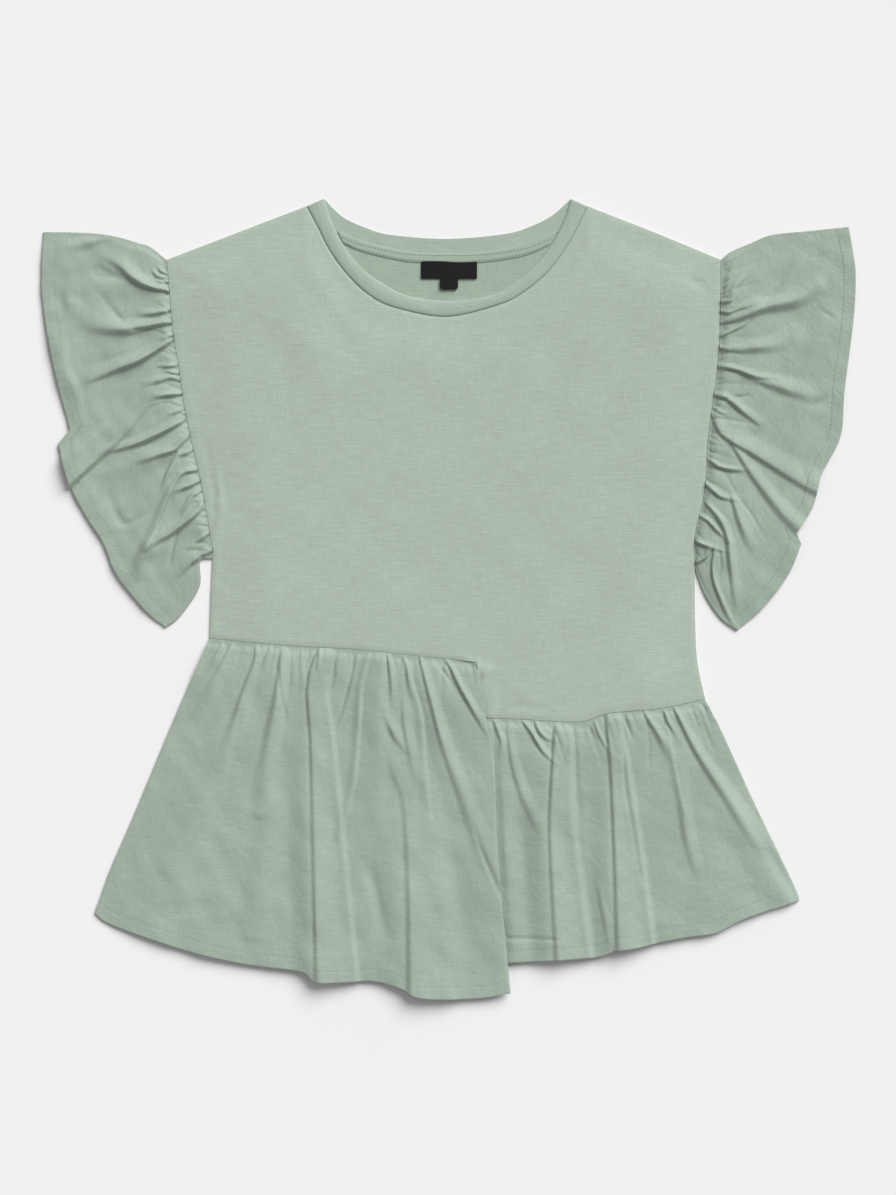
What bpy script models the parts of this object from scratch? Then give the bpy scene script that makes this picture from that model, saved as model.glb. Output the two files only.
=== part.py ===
"""A blouse with flutter sleeves and a stepped peplum, laid flat with its neck towards +Y.

Every piece that is cut and sewn is one closed solid of cloth. A flat panel is stretched between
four edge curves, and its folds are ridges and troughs from short tables. A sleeve and the
neckband are tubes pressed flat: a front layer over a back layer, joined at two folds.
Tables are in millimetres. The underside lies on z = 0, and left means the -X side.
"""

import math
import random

import bmesh
import bpy
import numpy as np
from mathutils import Matrix, Vector

COLLECTION = "blouse"
MM = 0.001
MERGE_DISTANCE = 1e-6
CREASE_ANGLE = math.radians(50)
FLAT_ANGLE = math.radians(0.1)

# Cloth thicknesses and clearances, in millimetres
JERSEY_WALL = 1.2
POPLIN_WALL = 1.0
LABEL_WALL = 1.0
SEAM_GAP = 0.3
LAYER_GAP = 0.3

# How high the upper layer lies, in millimetres
EDGE_BOTTOM = JERSEY_WALL + LAYER_GAP
BODICE_PUFF = 2.6
PEPLUM_PUFF = 1.6
RUFFLE_PUFF = 1.6
FLOOR_PUFF = 2.2
PUFF_REACH = 55.0
SEAM_REACH = 35.0
RUFFLE_REACH = 30.0
BACK_RIDGE = 1.7
OVERLAP_LIFT = 2.4
OVERLAP_WIDTH = 12.0
OVERLAP_FADE = 45.0
OVERLAP_FLOOR = 2.0

# Small sizes, in millimetres
FOLD_TURN = 1.4
BACK_SIDE_INSET = 1.5
LABEL_WIDTH = 50.4
LABEL_HEIGHT = 16.2
LABEL_TOP = 303.3
SIZE_TAB_WIDTH = 16.2
SIZE_TAB_HEIGHT = 9.4
LABEL_X = 0.5

# Mesh steps: columns run along a seam, rows run from the seam to the hem
SHOULDER_COLUMNS = 5
WAIST_LEFT_COLUMNS = 15
WAIST_STEP_COLUMNS = 2
WAIST_RIGHT_COLUMNS = 13
ARMHOLE_ROWS = 12
SIDE_ROWS = 4
GATHERED_PARTS = 3
PEPLUM_ROWS = 12
HIDDEN_COLUMNS = 2
BACK_ROWS = 8
BACK_RIM_COLUMNS = 3
RUFFLE_ROWS = 9
BAND_COLUMNS = 20
BAND_ROWS = 2
TAPE_COLUMNS = 16

# How many ridges each back peplum has
BACK_LEFT_RIDGES = 7
BACK_RIGHT_RIDGES = 6

# How a fold narrows towards its seam, and how it fades past its own ends
FOLD_FAN = 0.45
END_FADE = 9.0

# Edge curves, each point (x, y)
SHOULDER_LEFT = (
    (-253.3, 304.2), (-191.2, 328.1), (-127.8, 352.4),
)
SHOULDER_RIGHT = (
    (125.1, 352.4), (185, 328.9), (244.9, 304.2),
)
FRONT_NECK_SEAM = (
    (-127.8, 352.4), (-118.4, 334.8), (-106.7, 311.9), (-89.5, 288.9), (-70.7, 271.8),
    (-48.1, 261), (-2.2, 252.9), (42.8, 262.8), (65.7, 273.6), (88.7, 292.5), (107.5, 317.7),
    (118.4, 338.4), (125.1, 352.4),
)
FRONT_NECK_EDGE = (
    (-112, 359.1), (-104.9, 338.4), (-93.2, 315.9), (-76, 294.8), (-57.1, 281.7), (-36.5, 271.8),
    (1.4, 267.3), (39.1, 272.7), (58.1, 282.6), (75.2, 297), (92.2, 317.7), (104, 340.2),
    (110.2, 359.1),
)
BACK_NECK_SEAM = (
    (-127.8, 352.4), (-113.9, 338.4), (-99.5, 327.6), (-67, 314.1), (-29.2, 306.9), (1.4, 306),
    (27.4, 306.9), (65.7, 314.1), (96.8, 327.6), (111.2, 338.4), (125.1, 352.4),
)
BACK_NECK_EDGE = (
    (-112, 359.1), (-95.3, 342.9), (-74.2, 333), (-51.8, 326.7), (-0.5, 323.1), (50.9, 327.6),
    (75.2, 334.8), (94, 344.7), (110.2, 359.1),
)
TAPE_TOP = (
    (-95, 330.3), (-67, 319.1), (-29.2, 311.9), (-0.5, 310.9), (27.4, 311.9), (65.7, 319.1),
    (93.2, 330.3),
)
TAPE_BOTTOM = (
    (-89.5, 320.4), (-67, 311.4), (-29.2, 304.2), (-0.5, 303.8), (27.4, 304.2), (65.7, 311.4),
    (87.8, 320.4),
)
ARMHOLE_LEFT = (
    (-253.3, 304.2), (-250.7, 273.6), (-248, 242.1), (-241.7, 202.5), (-236.2, 164.7),
    (-222.8, 104.4), (-212.8, 47.7), (-212, 35.1),
)
SIDE_LEFT = (
    (-212, 35.1), (-213.8, -5.4), (-214.7, -36),
)
ARMHOLE_RIGHT = (
    (244.9, 304.2), (244.3, 253.8), (242.1, 209.7), (233.1, 142.2), (231.8, 110.7), (228.2, 85.5),
    (221.7, 56.7), (221.5, 28.8),
)
SIDE_RIGHT = (
    (221.5, 28.8), (221.8, -16.2), (223.7, -55.8), (230.8, -90.9),
)
WAIST_LEFT = (
    (-214.7, -36), (-149.8, -42.3), (-86.9, -45.9), (-32.9, -51.3), (25.7, -57.6),
)
WAIST_STEP = (
    (25.7, -57.6), (27.4, -74.7), (32.9, -107.5),
)
WAIST_RIGHT = (
    (32.9, -107.5), (67, -108.9), (116.5, -111.2), (144.5, -103.5), (191.2, -99), (230.8, -90.9),
)
PEPLUM_SIDE_LEFT = (
    (-214.7, -36), (-229.1, -68.4), (-256.9, -132.8), (-284.9, -199.8), (-304.1, -243.9),
    (-318.2, -283.5),
)
HEM_LEFT = (
    (-318.2, -283.5), (-306.9, -292.1), (-274.1, -304.2), (-235.3, -316.8), (-207.5, -324),
    (-173.2, -330.3), (-131.8, -335.7), (-120.2, -344.3), (-100.4, -345.1), (-67.5, -344.3),
    (-44.1, -350.1), (-23.4, -359.1), (24.8, -359.6), (55.8, -354.6),
)
FREE_EDGE = (
    (25.1, -57.6), (26.6, -74.7), (29.2, -97.2), (33.4, -113.4), (41, -141.3), (42.8, -198.9),
    (46.8, -257.4), (55.8, -354.6),
)
HIDDEN_EDGE = (
    (22.9, -108), (28.4, -145.8), (31.9, -198.9), (35.6, -257.4), (44.6, -328.5),
)
WAIST_UNDER = (
    (22.9, -108), (32.9, -107.5),
)
PEPLUM_SIDE_RIGHT = (
    (230.8, -90.9), (239, -107.1), (244.3, -117), (274.1, -181.8), (294.3, -224.1),
    (312.8, -262.8), (315.4, -271.8),
)
HEM_RIGHT = (
    (44.6, -328.5), (99.5, -324.9), (134.6, -322.2), (149, -316.8), (168.8, -314.1),
    (188.6, -309.6), (212, -305.1), (240.8, -300.6), (266.9, -288), (315.4, -271.8),
)
RUFFLE_TOP_LEFT = (
    (-253.3, 304.2), (-267.3, 315.4), (-277.7, 319.1), (-301.9, 325.8), (-326.2, 328.5),
    (-364.1, 329.4),
)
RUFFLE_HEM_LEFT = (
    (-364.1, 329.4), (-365.9, 289.8), (-364.4, 262.8), (-355.4, 209.7), (-340.3, 151.2),
    (-351, 138.1), (-340.7, 102.6), (-326.2, 73.8), (-310.9, 50.4), (-298.4, 20.7),
    (-272.2, -11.7), (-254.2, -27),
)
RUFFLE_UNDER_LEFT = (
    (-212, 35.1), (-222.8, 32.4), (-223.7, 9.9), (-240.8, -16.2), (-254.2, -27),
)
RUFFLE_TOP_RIGHT = (
    (244.9, 304.2), (253.8, 311.4), (271.4, 319), (291.2, 326.7), (325.4, 330.3), (359.6, 333.9),
)
RUFFLE_HEM_RIGHT = (
    (359.6, 333.9), (363.2, 313.2), (365.9, 289.8), (364.1, 251.1), (355.9, 186.3),
    (352.4, 145.8), (335.2, 110.7), (327.7, 82.8), (312.8, 58.5), (317, 48.6), (305.6, 21.6),
    (283.1, -8.1), (258.8, -29.7),
)
RUFFLE_UNDER_RIGHT = (
    (221.5, 28.8), (222.8, 21.6), (230.8, 0.9), (244.3, -18.9), (258.8, -29.7),
)
BACK_SPLIT = (
    (32.9, -107.5), (34.6, -181.8), (36.5, -253.8), (38.2, -354.6),
)
BACK_SPLIT_RIGHT = (
    (32.9, -107.5), (34.6, -181.8), (36.5, -253.8), (38.2, -324),
)
BACK_HEM_LEFT = (
    (-316.4, -279.9), (-274.1, -299.7), (-207.5, -319.5), (-131.8, -331.2), (-68, -340.2),
    (-23.9, -352.8), (38.2, -354.6),
)
BACK_HEM_RIGHT = (
    (38.2, -324), (99.5, -320.4), (149, -312.3), (188.6, -305.1), (240.8, -296.1),
    (266.9, -283.5), (313.7, -268.2),
)

# Folds, one row each, in order along the seam:
# from x, from y, to x, to y, bow, height at start, middle and end, width of the flank before the
# crest, of the flat top, and of the flank after it
PEPLUM_LEFT_FOLDS = (
    (-208, -39, -222, -63, 0, -1.5, -1.5, 0, 4, 0, 4),
    (-199, -40, -249, -137, 2, 2.5, 3, 0, 6, 0, 8),
    (-194, -40, -238, -99, 2, -2, -2, 0, 4, 0, 5),
    (-187, -40, -227, -227, 4, 3, 4, 1, 7, 0, 10),
    (-176, -42, -216, -150, 3, -3, -2.5, 0, 4, 0, 6),
    (-166, -42, -198, -324, 5, 3.5, 4, 2.5, 8, 0, 14),
    (-154, -45, -177, -150, 3, -2.5, -2.5, 0, 5, 0, 6),
    (-148, -43, -148, -128, 0, -2, -2, 0, 4, 0, 4),
    (-137, -44, -148, -182, 2, 3, 2.5, 0, 6, 0, 7),
    (-126, -46, -120, -344, 2, 4.5, 7, 8.5, 4.5, 31, 9),
    (-115, -47, -120, -92, 0, -2, -1.5, 0, 3, 0, 4),
    (-95, -47, -100, -114, 0, -2, -2, 0, 4, 0, 4),
    (-78, -49, -103, -227, -4, 4, 4.5, 0, 9, 0, 5),
    (-56, -51, -45, -141, 4, -3, -2.5, 0, 5, 0, 6),
    (-42, -52, -37, -347, -3, 3.5, 6, 8, 7, 42, 42),
    (-31, -53, 19, -238, 3, -3.5, -3, 0, 4, 0, 6),
    (-18, -55, 39, -254, -2, 3, 2.5, 1, 7, 0, 9),
    (-4, -56, 32, -121, -2, -3.5, -3, 0, 3, 0, 5),
    (9, -57, 35, -128, 0, 3, 2.5, 0.5, 6, 0, 5),
    (19, -202, 46, -271, 1, 0, 1.5, 0, 5, 0, 5),
    (-72, -245, -56, -308, 0, 0, -2, -1, 9, 0, 9),
    (-269, -195, -267, -277, 0, 0, -1.2, 0, 10, 0, 10),
    (-192, -209, -168, -330, 0, 0, 2.5, 3.5, 20, 0, 20),
)
PEPLUM_RIGHT_FOLDS = (
    (41, -111, 44, -153, -1, -1.5, -1.5, 0, 3, 0, 4),
    (51, -111, 75, -210, 2, -2.5, -2.5, 0, 4, 0, 5),
    (59, -111, 82, -236, 2, 3, 3, 1, 6, 0, 7),
    (67, -111, 91, -148, 1, -3, -2.5, 0, 3, 0, 4),
    (77, -111, 93, -150, 1, 3, 2.5, 0, 4, 0, 5),
    (86, -110, 94, -132, 0, -2.5, -2, 0, 3, 0, 3),
    (95, -112, 95, -326, 4, 4, 7, 8, 4, 29, 8),
    (110, -112, 97, -173, -3, -1.5, -1.5, 0, 3, 0, 4),
    (133, -108, 149, -316, -3, 4.5, 7.5, 9, 4, 34, 9),
    (143, -108, 142, -137, 0, -2, -1.5, 0, 3, 0, 3),
    (160, -104, 167, -132, 0, -2.5, -2, 0, 3, 0, 3),
    (169, -103, 207, -306, 2, 2.5, 3.5, 2.5, 8, 0, 11),
    (177, -102, 194, -150, 1, -3, -2, 0, 3, 0, 5),
    (185, -101, 203, -182, 0, 3, 3, 0, 5, 0, 6),
    (193, -99, 217, -245, 2, -3, -2.5, 0, 4, 0, 6),
    (203, -97, 290, -248, -2, -3.5, -3, -0.5, 6, 0, 7),
    (213, -96, 304, -261, -1, 4, 4.5, 2, 6, 0, 8),
    (217, -213, 237, -301, 0, 0, 3, 4.5, 18, 0, 18),
    (64, -236, 72, -328, 0, 0, -2, -1.5, 14, 0, 12),
)
RUFFLE_LEFT_FOLDS = (
    (-252, 297, -269, 308, 0, 2.5, 1.5, 0, 4, 0, 4),
    (-252, 290, -267, 299, 0, -2, -1.5, 0, 3, 0, 4),
    (-252, 281, -303, 308, 0, 4, 4, 0, 6, 0, 7),
    (-251, 273, -310, 302, 3, -3.5, -3.5, 0, 4, 0, 5),
    (-250, 264, -348, 275, 4, 4, 4.5, 1.5, 8, 0, 12),
    (-250, 256, -279, 251, 0, -2.5, -2, 0, 4, 0, 4),
    (-249, 250, -296, 248, 0, 3, 2.5, 0, 4, 0, 5),
    (-249, 245, -328, 236, -3, -3.5, -3.5, -0.5, 4, 0, 6),
    (-247, 238, -357, 221, -3, 4, 5, 4, 6, 0, 14),
    (-247, 230, -319, 193, 3, -4, -4, -1.5, 4, 0, 8),
    (-245, 223, -296, 194, 2, 3, 3.5, 0, 5, 0, 5),
    (-244, 211, -314, 178, 0, -2.5, -3.5, -1, 5, 0, 8),
    (-241, 193, -264, 196, 0, -2, -1.5, 0, 3, 0, 3),
    (-242, 185, -350, 134, -5, 4, 8.5, 10, 12, 26, 5),
    (-239, 182, -264, 176, 0, -2, -1.5, 0, 3, 0, 3),
    (-236, 168, -252, 162, 0, -2, -1.5, 0, 3, 0, 3),
    (-269, 166, -303, 130, 3, 0, -2.5, -0.5, 5, 0, 5),
    (-234, 153, -310, 95, 6, -3, -3, 0, 6, 0, 10),
    (-232, 142, -279, 118, 3, -2.5, -2.5, 0, 4, 0, 5),
    (-228, 129, -321, 70, -4, 4, 5, 4, 8, 0, 12),
    (-226, 122, -261, 95, 3, -2.5, -2.5, 0, 4, 0, 4),
    (-224, 112, -294, 45, -3, 4, 5.5, 3, 6, 0, 9),
    (-221, 103, -245, 93, 0, -3, -2.5, 0, 4, 0, 4),
    (-220, 94, -270, 22, 5, 4, 7, 5, 8, 0, 5),
    (-218, 81, -267, 44, 4, -3.5, -3.5, 0, 4, 0, 6),
    (-216, 70, -269, -5, 2, 4, 5, 4, 7, 0, 8),
    (-215, 59, -245, 41, 0, -2.5, -2, 0, 4, 0, 4),
    (-213, 50, -251, -16, 3, 3.5, 4, 3, 6, 0, 7),
    (-213, 41, -238, 22, 2, -3, -3, 0, 4, 0, 4),
)
RUFFLE_RIGHT_FOLDS = (
    (245, 297, 262, 309, 0, 2.5, 1.5, 0, 4, 0, 4),
    (245, 290, 261, 299, 0, -2, -1.5, 0, 3, 0, 3),
    (245, 281, 273, 292, 0, 3, 2.5, 0, 4, 0, 5),
    (245, 274, 261, 279, 0, -2.5, -2, 0, 3, 0, 4),
    (245, 266, 280, 277, 0, 3, 3, 0, 5, 0, 5),
    (245, 256, 313, 302, 6, 3.5, 4, 1, 6, 0, 7),
    (245, 246, 336, 275, 4, -4, -4, -1, 4, 0, 6),
    (245, 240, 351, 268, 4, 4, 5, 4, 6, 0, 16),
    (245, 234, 267, 242, 0, -2, -2, 0, 3, 0, 3),
    (244, 225, 318, 225, 3, -2.5, -3, 0, 5, 0, 6),
    (244, 217, 352, 209, 2, 4, 4.5, 3, 8, 0, 16),
    (242, 207, 316, 180, 3, -4, -3.5, -0.5, 4, 0, 7),
    (240, 196, 298, 169, 0, 3, 3, 0, 6, 0, 7),
    (238, 181, 273, 160, 0, -3.5, -3, 0, 4, 0, 5),
    (238, 175, 349, 167, 4, 4.5, 6, 6, 8, 0, 14),
    (241, 157, 343, 137, 6, 5, 8, 9, 18, 0, 6),
    (242, 142, 327, 94, 4, -4, -4, -1.5, 4, 0, 5),
    (241, 133, 322, 81, 2, 4, 7, 8, 6, 0, 7),
    (237, 121, 267, 114, 0, -3, -2, 0, 4, 0, 4),
    (237, 112, 316, 61, 4, -3, -3.5, 0, 4, 0, 7),
    (232, 100, 254, 88, 0, -3, -2.5, 0, 4, 0, 4),
    (232, 91, 309, 32, 6, 4.5, 6, 5, 7, 0, 9),
    (230, 81, 252, 34, -4, -3.5, -3.5, 0, 4, 0, 5),
    (228, 76, 280, 2, 4, 4, 5.5, 4, 6, 0, 7),
    (226, 68, 253, -2, -4, -3, -3, -1, 4, 0, 5),
    (225, 59, 264, -20, 4, 3.5, 4.5, 3, 5, 0, 7),
    (222, 50, 243, 43, 0, -3, -2, 0, 3, 0, 3),
    (222, 38, 246, -13, 3, 3.5, 3.5, 2, 5, 0, 6),
)
BODICE_FOLDS = (
    (-219, 129, -210, 61, -2, 0, -1.5, 0, 6, 0, 6),
    (-230, 142, -217, 70, 0, 0, 1, 0, 8, 0, 6),
    (221, 88, 222, 41, 1, 0, -1.5, 0, 5, 0, 5),
    (27, -59, 36, -92, 0, 1, 1.5, 0, 6, 0, 5),
    (34, -63, 29, -103, 0, -1, -1.2, 0, 3, 0, 4),
    (-188, 268, -134, 160, 8, 0, 0.8, 0, 40, 0, 40),
    (172, 268, 136, 151, -8, 0, 0.8, 0, 40, 0, 40),
)


def smooth_curve(points, steps):
    """Points at equal distances along a smooth curve through the given ones."""
    points = np.array(points, float)
    if len(points) > 2:
        ends = np.vstack([2 * points[0] - points[1], points, 2 * points[-1] - points[-2]])
        share = np.linspace(0, 1, 13)[:-1, None]
        fine = []
        for a, b, c, d in zip(ends, ends[1:], ends[2:], ends[3:]):
            ahead = (c - a) / 2
            behind = (d - b) / 2
            rise = 3 * (c - b) - 2 * ahead - behind
            turn = 2 * (b - c) + ahead + behind
            fine.append(b + share * (ahead + share * (rise + share * turn)))
        points = np.vstack(fine + [points[-1:]])
    lengths = np.r_[0, np.cumsum(np.hypot(*np.diff(points, axis=0).T))]
    places = np.linspace(0, lengths[-1], steps + 1)
    return np.stack([np.interp(places, lengths, points[:, k]) for k in (0, 1)], axis=1)


def sewn_curve(points, steps, parts):
    """A seam's edge on the gathered side: parts steps for each step of the plain side, on its chords."""
    plain = smooth_curve(points, steps)
    places = np.linspace(0, steps, steps * parts + 1)
    return np.stack([np.interp(places, np.arange(steps + 1), plain[:, k]) for k in (0, 1)], axis=1)


def joined(*stretches):
    """One edge from stretches of (steps, points), with a crisp corner where two meet."""
    curves = [smooth_curve(points, steps) for steps, points in stretches]
    return np.vstack([curves[0]] + [curve[1:] for curve in curves[1:]])


def stretched(top, bottom, left, right):
    """A grid of (x, y) between four edges: rows run from top to bottom, columns left to right."""
    down = np.linspace(0, 1, len(left))[:, None, None]
    across = np.linspace(0, 1, len(top))[None, :, None]
    between = (1 - down) * top[None] + down * bottom[None]
    sides = (1 - across) * left[:, None] + across * right[:, None]
    corners = (1 - down) * ((1 - across) * top[0] + across * top[-1]) + down * (
        (1 - across) * bottom[0] + across * bottom[-1]
    )
    return between + sides - corners


def smooth_step(share):
    """0 up to share 0, 1 from share 1, and a smooth rise between."""
    share = np.clip(share, 0, 1)
    return share * share * (3 - 2 * share)


def softened(height):
    """Each height averaged with its neighbours in the row and the column."""
    for axis in (0, 1):
        ends = [(1, 1) if axis == k else (0, 0) for k in (0, 1)]
        wide = np.moveaxis(np.pad(height, ends, mode="edge"), axis, 0)
        height = np.moveaxis((wide[:-2] + 2 * wide[1:-1] + wide[2:]) / 4, 0, axis)
    return height


def fold_height(grid, folds, after_is_left=1):
    """The summed height of the folds at each point of the grid.

    The side after a crest is on the left hand of someone who walks the fold from start to end.
    after_is_left is -1 where the rows run the other way round.
    """
    x, y = grid[..., 0], grid[..., 1]
    total = np.zeros_like(x)
    for from_x, from_y, to_x, to_y, bow, start, middle, end, before, flat, after in folds:
        step_x, step_y = to_x - from_x, to_y - from_y
        length = math.hypot(step_x, step_y)
        along = ((x - from_x) * step_x + (y - from_y) * step_y) / length**2
        share = np.clip(along, 0, 1)
        across = ((y - from_y) * step_x - (x - from_x) * step_y) / length * after_is_left
        across = across - 4 * bow * share * (1 - share)
        fan = FOLD_FAN + (1 - FOLD_FAN) * share
        past_top = across / fan - np.clip(across / fan, 0, flat)
        near = np.clip(np.abs(past_top) / np.where(past_top > 0, after, before), 0, 1)
        bend = 2 * (start + end - 2 * middle)
        crest = start + share * (end - start - bend) + share**2 * bend
        past = np.abs(along - share) * length / END_FADE
        total += crest * (1 - near) ** 2 * (1 + 2 * near) * np.exp(-(past**2))
    return softened(total)


def material(name, colour, roughness):
    """A dyed cloth's finish."""
    made = bpy.data.materials.new(name)
    made.use_nodes = True
    shader = made.node_tree.nodes["Principled BSDF"]
    shader.inputs["Base Color"].default_value = (*colour, 1)
    shader.inputs["Roughness"].default_value = roughness
    shader.inputs["Metallic"].default_value = 0
    return made


def add_piece(name, mesh, finish):
    """A finished bmesh as an object in the blouse's collection."""
    bmesh.ops.recalc_face_normals(mesh, faces=mesh.faces)
    data = bpy.data.meshes.new(name)
    mesh.to_mesh(data)
    mesh.free()
    data.materials.append(finish)
    data.shade_smooth()
    data.set_sharp_from_angle(angle=CREASE_ANGLE)
    piece = bpy.data.objects.new(name, data)
    bpy.data.collections[COLLECTION].objects.link(piece)
    return piece


def grid_mesh(columns, rows):
    """A bmesh grid and its vertices, row by row."""
    mesh = bmesh.new()
    made = bmesh.ops.create_grid(mesh, x_segments=columns, y_segments=rows, size=1)
    return mesh, made["verts"]


def place(vertices, points):
    """Moves a grid's vertices to points in millimetres, row by row."""
    for vertex, point in zip(vertices, points.reshape(-1, 3)):
        vertex.co = point * MM


def add_panel(name, grid, bottom, wall, finish):
    """A panel over a grid of (x, y), with its upper face one wall above the heights in bottom."""
    rows, columns = bottom.shape
    mesh, vertices = grid_mesh(columns - 1, rows - 1)
    place(vertices, np.dstack([grid, bottom + wall]))
    if np.ptp(bottom) == 0:
        bmesh.ops.dissolve_limit(mesh, angle_limit=FLAT_ANGLE, verts=mesh.verts, edges=mesh.edges)
    copied = bmesh.ops.extrude_face_region(mesh, geom=mesh.faces[:])["geom"]
    under = [part for part in copied if isinstance(part, bmesh.types.BMVert)]
    bmesh.ops.translate(mesh, verts=under, vec=(0, 0, -wall * MM))
    return add_piece(name, mesh, finish)


def way_out(edge, inner):
    """The level direction from the column inside an edge to the edge itself."""
    out = edge - inner
    out[:, 2] = 0
    return out / np.maximum(np.linalg.norm(out, axis=1), 1e-6)[:, None]


def turned_edge(over, over_inner, beneath, beneath_inner):
    """Pulls two layers' edges back from a fold, and gives the column that turns round it."""
    over_out = way_out(over, over_inner)
    beneath_out = way_out(beneath, beneath_inner)
    turn = (over + beneath) / 2
    over -= over_out * FOLD_TURN
    beneath -= beneath_out * FOLD_TURN
    return turn, over_out


def add_pressed_tube(name, front, front_bottom, back, wall, finish):
    """A tube of cloth pressed flat: a front layer, a fold, a back layer on z = 0, and a fold.

    front and back are grids of (x, y) with the same rows, whose columns run the same way.
    """
    layer = np.dstack([front, front_bottom + wall])
    under = np.dstack([back, np.zeros(back.shape[:2])])[:, ::-1]
    last, last_out = turned_edge(layer[:, -1], layer[:, -2], under[:, 0], under[:, 1])
    first, first_out = turned_edge(layer[:, 0], layer[:, 1], under[:, -1], under[:, -2])
    outer = np.concatenate([layer, last[:, None], under, first[:, None], layer[:, :1]], axis=1)
    inward = np.zeros_like(outer)
    inward[..., 2] = -wall
    inward[:, layer.shape[1]] = -last_out * wall
    inward[:, layer.shape[1] + 1 : -2, 2] = wall
    inward[:, -2] = -first_out * wall

    rows, columns = outer.shape[:2]
    mesh, vertices = grid_mesh(columns - 1, rows - 1)
    place(vertices, outer)
    shift = mesh.verts.layers.float_vector.new("inward")
    for vertex, way in zip(mesh.verts, inward.reshape(-1, 3)):
        vertex[shift] = way * MM
    bmesh.ops.remove_doubles(mesh, verts=mesh.verts, dist=MERGE_DISTANCE)
    copied = bmesh.ops.extrude_face_region(mesh, geom=mesh.faces[:])["geom"]
    for part in copied:
        if isinstance(part, bmesh.types.BMVert):
            part.co += part[shift]
    return add_piece(name, mesh, finish)


def add_label(name, top, width, height, finish):
    """A bare rectangle of woven label on the back bodice, with its upper edge at y = top."""
    mesh = bmesh.new()
    middle = Vector((LABEL_X, top - height / 2, EDGE_BOTTOM + LABEL_WALL / 2)) * MM
    sides = Matrix.Diagonal((width * MM, height * MM, LABEL_WALL * MM, 1))
    bmesh.ops.create_cube(mesh, size=1, matrix=Matrix.Translation(middle) @ sides)
    return add_piece(name, mesh, finish)


def lengths_along(grid, axis):
    """How far each point lies along its row (axis 1) or column (axis 0), in millimetres."""
    steps = np.diff(grid, axis=axis)
    steps = np.hypot(steps[..., 0], steps[..., 1])
    return np.insert(np.cumsum(steps, axis=axis), 0, 0, axis=axis)


def puffed(distance, puff, reach):
    """Where the underside of an upper layer lies before it is folded."""
    return EDGE_BOTTOM + puff * smooth_step(distance / reach)


def shifted(points, x, y):
    """The same points, moved by x and y."""
    return np.array(points, float) + (x, y)


def drawn_in(points, x):
    """An edge that starts where it did and ends x further along."""
    return points + np.linspace(0, 1, len(points))[:, None] * (x, 0)


def waist_edge():
    """The waist seam, with the step where the left peplum's free edge starts."""
    return joined(
        (WAIST_LEFT_COLUMNS, WAIST_LEFT),
        (WAIST_STEP_COLUMNS, WAIST_STEP),
        (WAIST_RIGHT_COLUMNS, WAIST_RIGHT),
    )


def bodice_grid(neck_seam):
    """Both bodices share their shoulders, armholes, sides and waist."""
    return stretched(
        joined(
            (SHOULDER_COLUMNS, SHOULDER_LEFT),
            (BAND_COLUMNS, neck_seam),
            (SHOULDER_COLUMNS, SHOULDER_RIGHT),
        ),
        waist_edge(),
        joined((ARMHOLE_ROWS, ARMHOLE_LEFT), (SIDE_ROWS, SIDE_LEFT)),
        joined((ARMHOLE_ROWS, ARMHOLE_RIGHT), (SIDE_ROWS, SIDE_RIGHT)),
    )


def build_bodice(jersey):
    """The front bodice, a little puffed, on the flat back bodice."""
    front = bodice_grid(FRONT_NECK_SEAM)
    across = lengths_along(front, 1)
    from_edge = np.minimum(np.minimum(across, across[:, -1:] - across), lengths_along(front, 0))
    heights = puffed(from_edge, BODICE_PUFF, PUFF_REACH) + fold_height(front, BODICE_FOLDS)
    add_panel("front_bodice", front, np.maximum(heights, EDGE_BOTTOM), JERSEY_WALL, jersey)
    back = bodice_grid(BACK_NECK_SEAM)
    add_panel("back_bodice", back, np.zeros(back.shape[:2]), JERSEY_WALL, jersey)


def band_grid(free_edge, seam):
    """One layer of the neckband, a seam's gap short of the bodice."""
    free = smooth_curve(free_edge, BAND_COLUMNS)
    sewn = smooth_curve(seam, BAND_COLUMNS)
    back_off = (free - sewn) / np.linalg.norm(free - sewn, axis=1)[:, None] * SEAM_GAP
    sewn = sewn + back_off
    left = smooth_curve((free[0], sewn[0]), BAND_ROWS)
    right = smooth_curve((free[-1], sewn[-1]), BAND_ROWS)
    return stretched(free, sewn, left, right)


def build_neck(jersey, tape, label):
    """The neckband, the tape over its back seam, and the two labels below it."""
    front = band_grid(FRONT_NECK_EDGE, FRONT_NECK_SEAM)
    back = band_grid(BACK_NECK_EDGE, BACK_NECK_SEAM)
    level = np.full(front.shape[:2], EDGE_BOTTOM)
    add_pressed_tube("neckband", front, level, back, JERSEY_WALL, jersey)

    upper = smooth_curve(TAPE_TOP, TAPE_COLUMNS)
    lower = smooth_curve(TAPE_BOTTOM, TAPE_COLUMNS)
    strip = np.stack([upper, lower])
    add_panel("neck_tape", strip, np.full(strip.shape[:2], EDGE_BOTTOM), LABEL_WALL, tape)
    add_label("main_label", LABEL_TOP, LABEL_WIDTH, LABEL_HEIGHT, label)
    tab_top = LABEL_TOP - LABEL_HEIGHT - SEAM_GAP
    add_label("size_label", tab_top, SIZE_TAB_WIDTH, SIZE_TAB_HEIGHT, label)


def ruffle_grid(parts, seam, hem, top, under):
    """One layer of a sleeve, from its seam (first row) to its hem (last row)."""
    return stretched(
        sewn_curve(seam, ARMHOLE_ROWS, parts),
        smooth_curve(hem, ARMHOLE_ROWS * parts),
        smooth_curve(top, RUFFLE_ROWS),
        smooth_curve(under, RUFFLE_ROWS),
    )


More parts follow.
